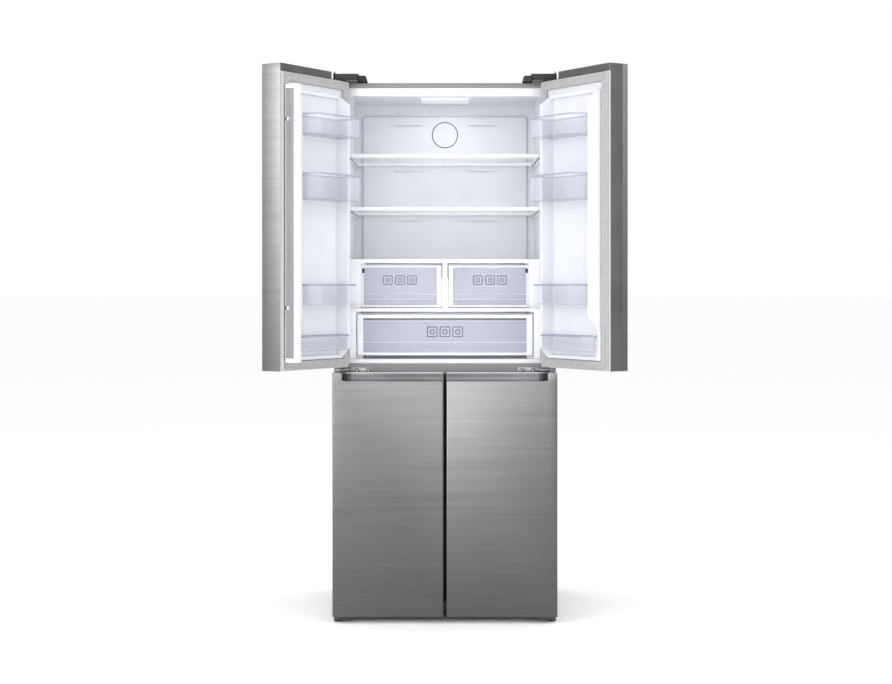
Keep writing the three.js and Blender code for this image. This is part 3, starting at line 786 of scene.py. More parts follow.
def softened_copy(node, name, radius, material, slot, body, segments=2):
    """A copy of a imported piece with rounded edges, which stands in for it."""
    piece = plain_copy(node, name)
    soften(piece, radius, segments)
    finish_piece(piece, material, slot, body, node)


def is_dike_edge(side, centre):
    return behind_hinge(centre) > DOOR_BACK + PANEL_LIP and along_door(side, centre) < ARMS_FROM


for side in SIDES:
    for row, angle in DOOR_ROWS:
        door = f"{row}_door_{side}"
        panel = plain_copy(f"{door}_liner", f"{door}_inner_panel")
        turn_door(panel, side, -angle)
        pick(panel, "EDGE", lambda centre, way: is_dike_edge(side, centre))
        bpy.ops.mesh.bevel(
            offset=DIKE_RADIUS, segments=4, affect="EDGES", clamp_overlap=True, loop_slide=False
        )
        turn_door(panel, side, angle)
        finish_piece(panel, white_liner, "white_liner", door, f"{door}_liner")

# %% [markdown]
# **Gaskets.** A magnetic seal is a hollow vinyl ring with a shallow valley between its outer lip and
# the bellows. A flat ring is cut from a plate by inset, pushed up to its height, and its face is inset
# once more and pressed down to make the valley.

# %% Door gaskets
GASKET_WIDTH = 30 * MM
VALLEY = {"inset": 7 * MM, "depth": 3 * MM}


def gasket_ring(side, door, heights, base, crest, along):
    ring = door_box(f"{door}_seal", side, along, (base, crest), heights)
    remove_faces(ring, lambda centre, way: way.y > -0.9)
    pick(ring, "FACE", anything)
    bpy.ops.mesh.flip_normals()
    leave_outline(ring, GASKET_WIDTH)
    pick(ring, "FACE", anything)
    push((0, crest - base, 0))
    bpy.ops.mesh.select_all(action="SELECT")
    bpy.ops.mesh.normals_make_consistent(inside=False)
    top = hinge_line.y + crest - 0.1 * MM
    round_edges(ring, 2.5 * MM, 3, lambda centre, way: centre.y > top)
    pick(ring, "FACE", lambda centre, way: centre.y > top and way.y > 0.99)
    bpy.ops.mesh.inset(thickness=VALLEY["inset"])
    bpy.ops.transform.translate(value=(0, -VALLEY["depth"], 0))
    return ring


for side in SIDES:
    for row, angle in DOOR_ROWS:
        door = f"{row}_door_{side}"
        closed = plain_copy(f"{door}_gasket", "measured")
        turn_door(closed, side, -angle)
        corners = [corner.co for corner in closed.data.vertices]
        heights = (min(c.z for c in corners), max(c.z for c in corners))
        along = sorted(along_door(side, c) for c in corners)
        base = min(behind_hinge(c) for c in corners)
        crest = max(behind_hinge(c) for c in corners)
        bpy.data.objects.remove(closed)
        seal = gasket_ring(side, door, heights, base, crest, (along[0], along[-1]))
        turn_door(seal, side, angle)
        finish_piece(seal, door_gasket, "door_gasket", door, f"{door}_gasket")

# %% [markdown]
# **Door bins.** A bin is one clear moulding: thin walls, rounded corners, and a thicker rim that
# stiffens the open edge. A box gets its slanted front corners from a bisect, its lid is taken off, the
# corners and the foot are rounded and the wall is grown inwards. The rim and the foot look denser,
# because there one looks through more plastic.

# %% Door bins
BIN_WALL = 2.5 * MM
BIN_RIM = 6 * MM
BIN_CORNER = 4.5 * MM
BIN_FOOT = 3 * MM
BIN_BEHIND = 28 * MM
BIN_START = 54 * MM
DEEP_BIN = {"end": 309 * MM, "front": 136 * MM, "cut_along": 286 * MM, "cut_behind": 94 * MM}
SLIM_BIN = {"end": 326 * MM, "front": 86 * MM, "cut_along": 296 * MM, "cut_behind": 62 * MM}
SLIM_NUMBER = 4
SLIM_BACK_CUT = (318 * MM, 44 * MM)
HINGE_CORNERS = {1: 10 * MM, 2: 10 * MM, 3: 31 * MM}


def start_bin(side, number, heights, along, behind, cuts):
    """cuts are slanted corners: two points (along, behind) each; the corner beyond them goes."""
    name = f"bin_{side}_{number}"
    tray = door_box(name, side, along, behind, heights)
    middle = at_door(side, sum(along) / 2, sum(behind) / 2, heights[0])
    for first, second in cuts:
        start = at_door(side, *first, heights[0])
        line = at_door(side, *second, heights[0]) - start
        way = Vector((line.y, -line.x, 0))
        if way.dot(middle - start) > 0:
            way.negate()
        cut_across(tray, start, way, clear=True)
    remove_faces(tray, faces_up)
    round_edges(tray, BIN_CORNER, 4, upright)
    round_edges(tray, BIN_FOOT, 3, lambda centre, way: centre.z < heights[0] + 0.5 * MM)
    cut_across(tray, (0, 0, heights[1] - BIN_RIM), (0, 0, 1))
    bpy.ops.object.mode_set(mode="OBJECT")
    give_wall(tray, BIN_WALL)
    top = heights[1] - 0.5 * MM
    round_edges(tray, 0.8 * MM, 2, lambda centre, way: centre.z > top)
    return tray


def dress_clear(piece, thin, dense, test):
    """The thin finish all over, and the denser one on the faces that pass test."""
    only(piece)
    piece.data.materials.append(thin)
    piece.data.materials.append(dense)
    for face in piece.data.polygons:
        if test(face.center, face.normal):
            face.material_index = 1


BIN_NUMBERS = (1, 2, 3, 4)
for side in SIDES:
    for number in BIN_NUMBERS:
        node = f"door_bin_{side}_{number}"
        low, high = (corner.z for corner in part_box(node))
        size = SLIM_BIN if number == SLIM_NUMBER else DEEP_BIN
        cuts = [((size["cut_along"], size["front"]), (size["end"], size["cut_behind"]))]
        if number == SLIM_NUMBER:
            cuts.append(((size["cut_along"], BIN_BEHIND), SLIM_BACK_CUT))
        else:
            corner = HINGE_CORNERS[number]
            cuts.append(((BIN_START, size["front"] - corner), (BIN_START + corner, size["front"])))
        along, behind = (BIN_START, size["end"]), (BIN_BEHIND, size["front"])
        tray = start_bin(side, number, (low, high), along, behind, cuts)
        dress_clear(
            tray,
            bin_plastic,
            clear_edge,
            lambda centre, way: centre.z > high - BIN_RIM or centre.z < low + 1.2 * MM,
        )
        turn_door(tray, side, door_opening)
        finish_piece(tray, bin_plastic, "clear_plastic", f"upper_door_{side}", node)

# %% [markdown]
# **The folding post.** It hangs on the free edge of the left door and swings out to close the slot
# between the doors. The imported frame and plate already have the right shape, so copies of both get
# soft edges. The plate is painted steel, which the right door's magnetic seal grips.

# %% Folding post
post_steel = start_material("post_steel", grey(0.30, 0.02), 0.42, metallic=0.25)
post_grain = pattern(post_steel, (160, 160, 5), detail=3)
vary_colour(post_steel, post_grain, [(0.3, grey(0.275, 0.02)), (0.7, grey(0.325, 0.02))])
vary_roughness(post_steel, post_grain, 0.36, 0.5)

softened_copy(
    "mullion_frame", "mullion_moulding", 0.7 * MM, white_liner, "white_liner", "mullion"
)
softened_copy("mullion_plate", "mullion_face", 0.25 * MM, post_steel, "cabinet_steel", "mullion")

# %% [markdown]
# **Door caps.** A dark moulding closes the top of each upper door. It has a step for the hinge and a
# shallow tray on top. Its edges are rounded by a little under a millimetre.

# %% Door caps
for side in SIDES:
    door = f"upper_door_{side}"
    softened_copy(
        f"{door}_cap", f"door_cap_{side}", 0.8 * MM, dark_plastic, "dark_plastic", door
    )

# %% [markdown]
# ** The finger channel.** The lower doors have no handle: a curved channel along the top edge takes the
# fingers. On the real door it is a grey trim of its own. Its faces near the hinge end are painted black
# and dark grey as shade, and its grey is painted in broad light and dark bands as reflection. Its
# section is drawn by pushing the edge of a narrow strip step by step along the curve, and the sheet
# is then given a thin wall.

# %% Finger channels
CHANNEL = {"start": 11.3 * MM, "end": DOOR_FREE - 0.4 * MM, "top": 0.8855}
CHANNEL_CURVE = {"behind": -47 * MM, "radius": 30 * MM, "drop": 33 * MM, "centre": 0.890}
CHANNEL_SKIN = 0.5 * MM
POCKET_END = 25 * MM
PAINTED_SHADE_ENDS = (33 * MM, 44 * MM)


def channel_point(turn):
    """A point on the channel's curve, from its floor (turn 0) to its back wall (turn 90 degrees)."""
    return (
        CHANNEL_CURVE["behind"] + CHANNEL_CURVE["radius"] * math.sin(turn),
        CHANNEL_CURVE["centre"] - CHANNEL_CURVE["drop"] * math.cos(turn),
    )


TURNS = [math.radians(step) for step in range(0, 90, 8)]
channel_path = [(DOOR_FRONT + 0.6 * MM, GRIP["floor"])] + [channel_point(turn) for turn in TURNS]
channel_path = [point for point in channel_path if point[1] < CHANNEL["top"]]

for side in SIDES:
    door = f"lower_door_{side}"
    first, second = channel_path[0], channel_path[1]
    channel = door_box(
        f"finger_channel_{side}",
        side,
        (CHANNEL["start"] + 14 * MM, CHANNEL["end"]),
        (first[0], second[0]),
        (GRIP["floor"], GRIP["floor"] + 1 * MM),
    )
    remove_faces(channel, lambda centre, way: way.z < 0.9)
    pick(channel, "VERT", anything)
    bpy.ops.transform.translate(value=(0, 0, -0.7 * MM))
    front_edge = hinge_line.y + second[0] - 0.1 * MM
    pick(channel, "EDGE", lambda centre, way: centre.y > front_edge and abs(way.x) > 0.9)
    for start, stop in zip(channel_path[1:], channel_path[2:]):
        push((0, stop[0] - start[0], stop[1] - start[1]))
    bpy.ops.object.mode_set(mode="OBJECT")
    apply_modifier(channel, "SOLIDIFY", thickness=CHANNEL_SKIN, offset=1, use_even_offset=True)
    for end in PAINTED_SHADE_ENDS:
        cut_across(channel, at_door(side, end, 0, 0), (1, 0, 0))
    only(channel)
    # Faces near the hinge end get black and dark grey: painted shade. The grip steel carries painted reflection.
    for finish in (grip_steel, dark_plastic, black_plastic):
        channel.data.materials.append(finish)
    for face in channel.data.polygons:
        face.material_index = sum(along_door(side, face.center) < end for end in PAINTED_SHADE_ENDS)
    finish_piece(channel, grip_steel, "door_steel", door)

    cheek = door_box(
        f"channel_end_{side}",
        side,
        (CHANNEL["start"], POCKET_END + 1.5 * MM),
        (GRIP["back"] + 13 * MM, GRIP["back"] + 13.6 * MM),
        (GRIP["floor"] + 0.3 * MM, CHANNEL["top"]),
    )
    round_edges(cheek, 0.2 * MM, 2, anything)
    finish_piece(cheek, black_plastic, "dark_plastic", door)
    print("channel steps:", len(channel_path))

# %% [markdown]
# ## Inside the cabinet
# **Fresh food liner.** One vacuum-formed tub: its inner corners are rounded, because a sheet that is
# sucked over a mould can't make a sharp corner. A box loses its front, its corners are bevelled, and
# the wall grows outwards from the clear space. Ribs along the sides carry the glass shelves.

# %% Fresh food liner
liner_low, liner_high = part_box("fresh_food_liner")
duct_low, duct_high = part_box("duct_cover")
LINER_WALL = 1.9 * MM
SILL_HEIGHT = 15 * MM
SILL_DEPTH = 20 * MM
CORNER_BACK = 3.4 * MM
CORNER_SIDE = 4 * MM
inner_low = Vector((liner_low.x + 2 * MM, liner_low.y, liner_low.z + SILL_HEIGHT))
inner_high = Vector((liner_high.x - 2 * MM, liner_high.y - 2 * MM, liner_high.z - 2 * MM))

tub = start_box("fresh_food_tub", inner_low, inner_high)
remove_faces(tub, faces_front)
round_edges(tub, CORNER_SIDE, 4, front_to_back)
back_edge = inner_high.y - 0.5 * MM
round_edges(tub, CORNER_BACK, 5, lambda centre, way: centre.y > back_edge and abs(way.y) < 0.5)
bpy.ops.mesh.select_all(action="SELECT")
bpy.ops.mesh.flip_normals()
give_wall(tub, LINER_WALL)
sill = start_box(
    "sill",
    (liner_low.x, liner_low.y, liner_low.z),
    (liner_high.x, liner_low.y + SILL_DEPTH, inner_low.z),
)
round_edges(sill, 3 * MM, 3, side_to_side)
ribs = []
RIB = {"height": 8 * MM, "reach": 9 * MM, "back": 430 * MM, "front": 15 * MM}
for shelf in ("shelf_top", "shelf_middle"):
    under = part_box(shelf)[0].z - 6 * MM
    for side in SIDES:
        wall = SIDES[side] * inner_high.x
        rib = start_box(
            "rib",
            (wall + SIDES[side] * 1 * MM, RIB["front"], under - RIB["height"]),
            (wall - SIDES[side] * RIB["reach"], RIB["back"], under),
        )
        round_edges(rib, 2.2 * MM, 3, lambda centre, way: abs(centre.x) < inner_high.x)
        ribs.append(rib)
liner = join("fresh_food_moulding", [tub, sill, *ribs])
finish_piece(liner, white_liner, "white_liner", "cabinet", "fresh_food_liner")

# %% [markdown]
# **Ceiling header.** Across the front of the ceiling hangs a low bar. Its middle part is the guide that
# turns the folding post as the left door closes. Two fine joints show where the guide is clipped in.

# %% Ceiling header and post guide
HEADER_HEIGHT = 27 * MM
HEADER_DEPTH = 24 * MM
HEADER_GAP = 0.2 * MM
GUIDE_HALF = 51 * MM
JOINT_HALF = 1 * MM
header_front = liner_low.y + 1.5 * MM
header_parts = []
for left_end, right_end in (
    (inner_low.x + HEADER_GAP, -GUIDE_HALF - JOINT_HALF),
    (-GUIDE_HALF + JOINT_HALF, GUIDE_HALF - JOINT_HALF),
    (GUIDE_HALF + JOINT_HALF, inner_high.x - HEADER_GAP),
):
    bar = start_box(
        "bar",
        (left_end, header_front, inner_high.z - HEADER_HEIGHT),
        (right_end, header_front + HEADER_DEPTH, inner_high.z - HEADER_GAP),
    )
    under = inner_high.z - 5 * MM
    round_edges(bar, 2.5 * MM, 3, lambda centre, way: abs(way.x) > 0.9 and centre.z < under)
    round_edges(bar, 0.5 * MM, 2, upright)
    header_parts.append(bar)
header = join("ceiling_header", header_parts)
finish_piece(header, trim_white, "white_liner", "cabinet")

# %% [markdown]
# **Ceiling lamp.** A shallow lens over a strip of diodes: a plate whose lower edges are rounded, with
# a raised rim around a slightly sunk face.

# %% Ceiling lamp
LENS_TALL = 6 * MM
lens_face = lamp_high.z - LENS_TALL
lens = start_box("lamp_cover", (lamp_low.x, lamp_low.y, lens_face), lamp_high)
round_edges(lens, 4 * MM, 3, lambda centre, way: centre.z < lens_face + 0.5 * MM)
pick(lens, "FACE", lambda centre, way: way.z < -0.99)
bpy.ops.mesh.inset(thickness=5 * MM)
push((0, 0, 0.8 * MM))
finish_piece(lens, lamp_lens, "lamp_lens", "cabinet", "ceiling_lamp")

# %% [markdown]
# **Duct cover.** The panel on the back wall carries cold air up to slots under each shelf. It is
# modelled again with rounded corners, and the slots are faces pushed back into it.

# %% Duct cover with air slots
SLOT_ROWS = (1.818, 1.640, 1.446)
SLOT = {"inner": 92 * MM, "outer": 198 * MM, "half": 3.2 * MM, "depth": 7 * MM}
DUCT_EDGE = 5 * MM

duct = start_box("duct_panel", duct_low, duct_high)
round_edges(duct, 14 * MM, 5, front_to_back)
for row in SLOT_ROWS:
    for edge in (row - SLOT["half"], row + SLOT["half"]):
        cut_across(duct, (0, 0, edge), (0, 0, 1))
for reach in (SLOT["inner"], SLOT["outer"]):
    for side in SIDES:
        cut_across(duct, (SIDES[side] * reach, 0, 0), (1, 0, 0))


def in_slot(centre, way):
    in_row = any(abs(centre.z - row) < SLOT["half"] for row in SLOT_ROWS)
    return way.y < -0.9 and in_row and SLOT["inner"] < abs(centre.x) < SLOT["outer"]


def near_outline(centre, gap):
    beside = abs(centre.x) > duct_high.x - gap
    return beside or centre.z > duct_high.z - gap or centre.z < duct_low.z + gap


def is_front_edge(centre, way):
    """The front outline: its four straight stretches and the rounded corners between them."""
    on_outline = near_outline(centre, 0.3 * MM) or abs(way.x * way.z) > 0.01
    return centre.y < duct_low.y + 0.05 * MM and near_outline(centre, 15 * MM) and on_outline


print("slot faces:", pick(duct, "FACE", in_slot))
push((0, SLOT["depth"], 0))
round_edges(duct, DUCT_EDGE, 4, is_front_edge)
finish_piece(duct, white_liner, "white_liner", "cabinet", "duct_cover")

# %% [markdown]
# A printed ring marks the middle of the top space, a fraction of a millimetre proud. A torus would
# be a bead, so it is a filled circle whose middle is taken out, given a very small thickness.

# %% Printed ring
RING = {"height": 1.782, "radius": 51 * MM, "width": 3.4 * MM, "proud": 0.3 * MM}
only(None)
bpy.ops.mesh.primitive_circle_add(
    vertices=96,
    radius=RING["radius"],
    fill_type="NGON",
    location=(0, duct_low.y - 0.02 * MM, RING["height"]),
    rotation=(math.pi / 2, 0, 0),
)
ring = bpy.context.object
ring.name = "printed_ring"
settle()
leave_outline(ring, RING["width"])
apply_modifier(ring, "SOLIDIFY", thickness=RING["proud"], offset=1)
finish_piece(ring, ink, "dark_plastic", "cabinet")

# %% [markdown]
# **Glass shelves.** Each shelf is a sheet of tempered glass held in a white moulding: a bright lip
# along the front, another along the back, and rails along both sides.

# %% Glass shelves
TRIM_DEPTH = 12 * MM
RAIL_WIDTH = 9 * MM
for shelf in ("shelf_top", "shelf_middle"):
    low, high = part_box(shelf)
    glass_low = low.z + 3 * MM
    glass_high = glass_low + 5 * MM
    pane = start_box(
        f"{shelf}_pane",
        (low.x + 2 * MM, low.y + 3 * MM, glass_low),
        (high.x - 2 * MM, high.y - 3 * MM, glass_high),
    )
    round_edges(pane, 0.8 * MM, 2, anything)
    finish_piece(pane, shelf_glass, "shelf_glass", "cabinet", shelf)

    frame_box = start_box(f"{shelf}_trim", low, high)
    remove_faces(frame_box, lambda centre, way: way.z < 0.9)
    for line in (low.y + TRIM_DEPTH, high.y - TRIM_DEPTH):
        cut_across(frame_box, (0, line, 0), (0, 1, 0))
    for line in (low.x + RAIL_WIDTH, high.x - RAIL_WIDTH):
        cut_across(frame_box, (line, 0, 0), (1, 0, 0))
    remove_faces(
        frame_box,
        lambda centre, way: low.y + TRIM_DEPTH < centre.y < high.y - TRIM_DEPTH
        and abs(centre.x) < high.x - RAIL_WIDTH,
    )
    give_wall(frame_box, high.z - low.z)
    soften(frame_box, 2.4 * MM, 3)
    finish_piece(frame_box, trim_white, "white_liner", "cabinet")

# %% [markdown]
# **Drawers.** Crispers and the wide drawer below them are clear tubs with a white front frame. One
# function models the tub, another the frame: a plate is cut along four lines, and the two faces in
# its middle are bridged, which opens a window on the clear wall behind it.

# %% Tubs and front frames
DRAWER_WALL = 3 * MM
DRAWER_RIM = 5 * MM
LIP_DEPTH = 8 * MM
LIP_GAP = 0.3 * MM
FRAME_EDGE = 1.6 * MM


def clear_tub(name, low, high, wall=DRAWER_WALL, corner=10 * MM, foot=6 * MM):
    tray = start_box(name, low, high)
    remove_faces(tray, faces_up)
    round_edges(tray, corner, 4, upright)
    round_edges(tray, foot, 3, lambda centre, way: centre.z < low.z + 0.5 * MM)
    cut_across(tray, (0, 0, high.z - DRAWER_RIM), (0, 0, 1))
    bpy.ops.object.mode_set(mode="OBJECT")
    give_wall(tray, wall)
    top = high.z - 0.5 * MM
    round_edges(tray, 0.9 * MM, 2, lambda centre, way: centre.z > top)
    dress_clear(
        tray,
        clear_plastic,
        frosted_edge,
        lambda centre, way: centre.z > high.z - DRAWER_RIM or centre.z < low.z + 1 * MM,
    )
    return tray


def front_frame(name, low, high, window_low, window_high):
    """A rounded plate between low and high with a rectangular window cut through it."""
    plate = start_box(name, low, high)
    for line in (window_low.x, window_high.x):
        cut_across(plate, (line, 0, 0), (1, 0, 0))
    for line in (window_low.z, window_high.z):
        cut_across(plate, (0, 0, line), (0, 0, 1))

    def in_window(centre, way):
        across = window_low.x < centre.x < window_high.x
        return across and window_low.z < centre.z < window_high.z and abs(way.y) > 0.9

    pick(plate, "FACE", in_window)
    bpy.ops.mesh.bridge_edge_loops()
    bpy.ops.object.mode_set(mode="OBJECT")
    soften(plate, FRAME_EDGE, 3)
    return plate


def level_rib(name, low_x, high_x, front, height, tall=2.2 * MM, proud=1.4 * MM):
    """A thin level strip on the front of a clear wall: a moulded rib, or the wide drawer's painted shadow."""
    rib = start_box(
        name, (low_x, front - proud, height - tall / 2), (high_x, front + 0.3 * MM, height + tall / 2)
    )
    round_edges(rib, 0.6 * MM, 2, lambda centre, way: centre.y < front - proud / 2)
    return rib


# %% [markdown]
# The small printed frames mark what a drawer is for. One rounded square is modelled, and every other
# is a copy of it. What they show is left generic: a plain ring.

# %% One printed rounded square
PRINT_PROUD = 0.35 * MM
PRINT_SINK = 0.05 * MM


def printed_square(name, size, line):
    only(None)
    bpy.ops.mesh.primitive_plane_add(size=size, rotation=(math.pi / 2, 0, 0))
    square = bpy.context.object
    square.name = name
    settle()
    pick(square, "VERT", anything)
    bpy.ops.mesh.bevel(offset=size * 0.14, segments=4, affect="VERTICES")
    leave_outline(square, line)
    bpy.ops.object.mode_set(mode="OBJECT")
    only(None)
    bpy.ops.mesh.primitive_circle_add(
        vertices=28, radius=size * 0.24, fill_type="NGON", rotation=(math.pi / 2, 0, 0)
    )
    mark = bpy.context.object
    settle()
    leave_outline(mark, line)
    bpy.ops.object.mode_set(mode="OBJECT")
    both = join(name, [square, mark])
    apply_modifier(both, "SOLIDIFY", thickness=PRINT_PROUD, offset=1)
    return both


def copy_to(model, name, place):
    """A copy of model with its own mesh, moved to place."""
    piece = bpy.data.objects.new(name, model.data.copy())
    bpy.context.scene.collection.objects.link(piece)
    piece.data.transform(Matrix.Translation(place))
    return piece


small_print = printed_square("print_small", 33 * MM, 2.0 * MM)
large_print = printed_square("print_large", 37 * MM, 2.2 * MM)

# %% Crispers
CRISPER_RIBS = (1.163, 1.145)
CRISPER_PRINTS = (120 * MM, 164 * MM, 208 * MM)
CRISPER_PRINT_HEIGHT = 1.215
CRISPER_BAND = 16 * MM
NARROW_BAND = 6 * MM
RIB_GAP = 1 * MM
STOP = {"reach": 297 * MM, "half": 4.5 * MM, "proud": 1.5 * MM, "low": 1.241, "high": 1.257}

for side in SIDES:
    node = f"crisper_{side}"
    low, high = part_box(node)
    body_front = low.y + LIP_DEPTH
    tray = clear_tub(f"{node}_tub", Vector((low.x, body_front, low.z)), high)
    finish_piece(tray, clear_plastic, "clear_plastic", node, node)

    left_band = CRISPER_BAND if side == "right" else NARROW_BAND
    right_band = NARROW_BAND if side == "right" else CRISPER_BAND
    plate = front_frame(
        f"{node}_front",
        Vector((low.x, low.y, low.z)),
        Vector((high.x, body_front - LIP_GAP, high.z)),
        Vector((low.x + left_band, 0, low.z + 8 * MM)),
        Vector((high.x - right_band, 0, high.z - 6 * MM)),
    )
    finish_piece(plate, trim_white, "white_liner", node)

    window = (low.x + left_band + RIB_GAP, high.x - right_band - RIB_GAP)
    ribs = [level_rib("rib", *window, body_front, height) for height in CRISPER_RIBS]
    finish_piece(join(f"{node}_ribs", ribs), frosted_edge, "clear_plastic", node)

    prints = []
    for reach in CRISPER_PRINTS:
        place = Vector((SIDES[side] * reach, body_front - PRINT_SINK, CRISPER_PRINT_HEIGHT))
        prints.append(copy_to(small_print, "print", place))
    finish_piece(join(f"{node}_prints", prints), ink, "dark_plastic", node)

    outer = SIDES[side] * STOP["reach"]
    stop = start_box(
        f"{node}_stop",
        (outer - STOP["half"], low.y - STOP["proud"], STOP["low"]),
        (outer + STOP["half"], low.y + 0.5 * MM, STOP["high"]),
    )
    round_edges(stop, 1.2 * MM, 3, lambda centre, way: centre.y < low.y)
    finish_piece(stop, black_plastic, "black_plastic", node)

# %% The wide drawer
WIDE_BAND = 21 * MM
# line is the height of a black strip painted as shadow under the frame's top band.
WIDE_RIBS = {"low": 0.990, "high": 1.066, "line": 1.0742}
PRINT_PITCH = 46 * MM
WIDE_PRINT_HEIGHT = 1.028

low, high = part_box("flex_drawer")
body_front = low.y + LIP_DEPTH
wide_tub = clear_tub("flex_drawer_tub", Vector((low.x, body_front, low.z)), high)
finish_piece(wide_tub, clear_plastic, "clear_plastic", "flex_drawer", "flex_drawer")
wide_front = front_frame(
    "flex_drawer_front",
    low,
    Vector((high.x, body_front - LIP_GAP, high.z)),
    Vector((low.x + WIDE_BAND, 0, low.z + 10 * MM)),
    Vector((high.x - WIDE_BAND, 0, high.z - 13 * MM)),
)
finish_piece(wide_front, trim_white, "white_liner", "flex_drawer")
window = (low.x + WIDE_BAND + RIB_GAP, high.x - WIDE_BAND - RIB_GAP)
wide_ribs = [
    level_rib("rib", *window, body_front, WIDE_RIBS["low"]),
    level_rib("rib", *window, body_front, WIDE_RIBS["high"], tall=1.4 * MM),
]
finish_piece(join("flex_drawer_ribs", wide_ribs), frosted_edge, "clear_plastic", "flex_drawer")
# A black strip under the frame's top band is painted shadow, where the recessed window lies in shade.
painted_shadow_line = level_rib(
    "flex_drawer_painted_shadow", *window, body_front, WIDE_RIBS["line"], tall=4 * MM, proud=0.6 * MM
)
finish_piece(painted_shadow_line, black_plastic, "dark_plastic", "flex_drawer")
wide_prints = []
for step in (-1, 0, 1):
    place = Vector((step * PRINT_PITCH, body_front - PRINT_SINK, WIDE_PRINT_HEIGHT))
    wide_prints.append(copy_to(large_print, "print", place))
finish_piece(join("flex_drawer_prints", wide_prints), ink, "dark_plastic", "flex_drawer")
for model in (small_print, large_print):
    bpy.data.objects.remove(model)

# %% [markdown]
# **Drawer housings.** The crispers hang under a white cover plate with legs at both sides and a post
# in the middle; the wide drawer slides in a housing of its own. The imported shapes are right, so
# copies with rounded edges will do. The post is continued down to the housing, and a strip closes the
# gap at the outer side of each crisper.

# %% Drawer housings
POST_FOOT = {"half": 12.6 * MM, "deep": 22 * MM, "top": 1.222}
GAP_STRIP = {"from": 303.2 * MM, "to": 307 * MM, "deep": 40 * MM, "low": 1.118, "high": 1.270}

cover = plain_copy("crisper_frame", "crisper_cover")
soften(cover, 1.8 * MM, 3)
cover_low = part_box("crisper_frame")[0]
middle_post = start_box(
    "post_foot",
    (-POST_FOOT["half"], cover_low.y + 0.5 * MM, cover_low.z),
    (POST_FOOT["half"], cover_low.y + POST_FOOT["deep"], POST_FOOT["top"]),
)
round_edges(middle_post, 1.8 * MM, 3, upright)
gap_strips = []
for side in SIDES:
    gap_strips.append(
        start_box(
            "gap_strip",
            (SIDES[side] * GAP_STRIP["from"], cover_low.y + 2 * MM, GAP_STRIP["low"]),
            (SIDES[side] * GAP_STRIP["to"], cover_low.y + GAP_STRIP["deep"], GAP_STRIP["high"]),
        )
    )
cover = join("crisper_cover", [cover, middle_post, *gap_strips])
finish_piece(cover, trim_white, "white_liner", "cabinet", "crisper_frame")

softened_copy(
    "flex_drawer_frame", "flex_drawer_housing", 1.8 * MM, trim_white, "white_liner", "cabinet", 3
)

# %% [markdown]
# **Freezer.** Four deep drawers with frosted fronts, each with a pull lip. Behind them a white panel
# hides the evaporator and lets the fan blow through rows of slots.

# %% Freezer drawers
FREEZER_WALL = 4 * MM
PULL = {"tall": 14 * MM, "wall": 2 * MM, "hollow": 9 * MM}
PANEL_MARGIN = {"side": 14 * MM, "top": 26 * MM}

for side in SIDES:
    for row in ("lower", "upper"):
        node = f"freezer_drawer_{row}_{side}"
        low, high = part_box(node)
        body_front = low.y + LIP_DEPTH
        tray = clear_tub(f"{node}_tub", Vector((low.x, body_front, low.z)), high, FREEZER_WALL)
        finish_piece(tray, clear_plastic, "clear_plastic", "cabinet", node)
        pull = start_box(
            f"{node}_pull",
            (low.x, low.y, high.z - PULL["tall"]),
            (high.x, body_front - 0.2 * MM, high.z),
        )
        pick(pull, "FACE", lambda centre, way: way.z < -0.9)
        bpy.ops.mesh.inset(thickness=PULL["wall"])
        push((0, 0, PULL["hollow"]))
        soften(pull, 0.8 * MM, 2)
        finish_piece(pull, trim_white, "white_liner", "cabinet")
        panel = start_box(
            f"{node}_panel",
            (low.x + PANEL_MARGIN["side"], body_front - 1.4 * MM, low.z + PANEL_MARGIN["side"]),
            (high.x - PANEL_MARGIN["side"], body_front - 0.1 * MM, high.z - PANEL_MARGIN["top"]),
        )
        round_edges(panel, 12 * MM, 5, front_to_back)
        pick(panel, "FACE", faces_front)
        bpy.ops.mesh.inset(thickness=5 * MM)
        bpy.ops.transform.translate(value=(0, 0.7 * MM, 0))
        finish_piece(panel, frosted_edge, "clear_plastic", "cabinet")

# %% Freezer back panel
evaporator_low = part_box("evaporator")[0]
fan_low, fan_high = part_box("freezer_fan")
fan_middle = (fan_low + fan_high) / 2
freezer_low, freezer_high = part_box("freezer_liner")
PANEL = {"front": evaporator_low.y - 9 * MM, "back": evaporator_low.y - 3 * MM, "foot": 0.288}
FAN_OPENING = 74 * MM
FAN_SLOT = {"rows": 4, "pitch": 16 * MM, "half": 4 * MM, "depth": 4.5 * MM}
back_panel = start_box(
    "freezer_back_panel",
    (freezer_low.x + 4 * MM, PANEL["front"], PANEL["foot"]),
    (freezer_high.x - 4 * MM, PANEL["back"], freezer_high.z - 6 * MM),
)
round_edges(back_panel, 10 * MM, 4, front_to_back)
for bar in range(-FAN_SLOT["rows"], FAN_SLOT["rows"] + 1):
    row_middle = fan_middle.z + bar * FAN_SLOT["pitch"]
    for edge in (-FAN_SLOT["half"], FAN_SLOT["half"]):
        cut_across(back_panel, (0, 0, row_middle + edge), (0, 0, 1))
for reach in (-FAN_OPENING, FAN_OPENING):
    cut_across(back_panel, (reach, 0, 0), (1, 0, 0))


def is_fan_slot(centre, way):
    row = (centre.z - fan_middle.z) / FAN_SLOT["pitch"]
    off_row = abs(row - round(row)) * FAN_SLOT["pitch"]
    in_row = off_row < FAN_SLOT["half"] - 0.1 * MM and abs(row) < FAN_SLOT["rows"] + 0.3
    return way.y < -0.9 and in_row and abs(centre.x) < FAN_OPENING


print("fan slots:", pick(back_panel, "FACE", is_fan_slot))
bpy.ops.mesh.inset(thickness=1 * MM)
push((0, FAN_SLOT["depth"], 0))
finish_piece(back_panel, white_liner, "white_liner", "cabinet")

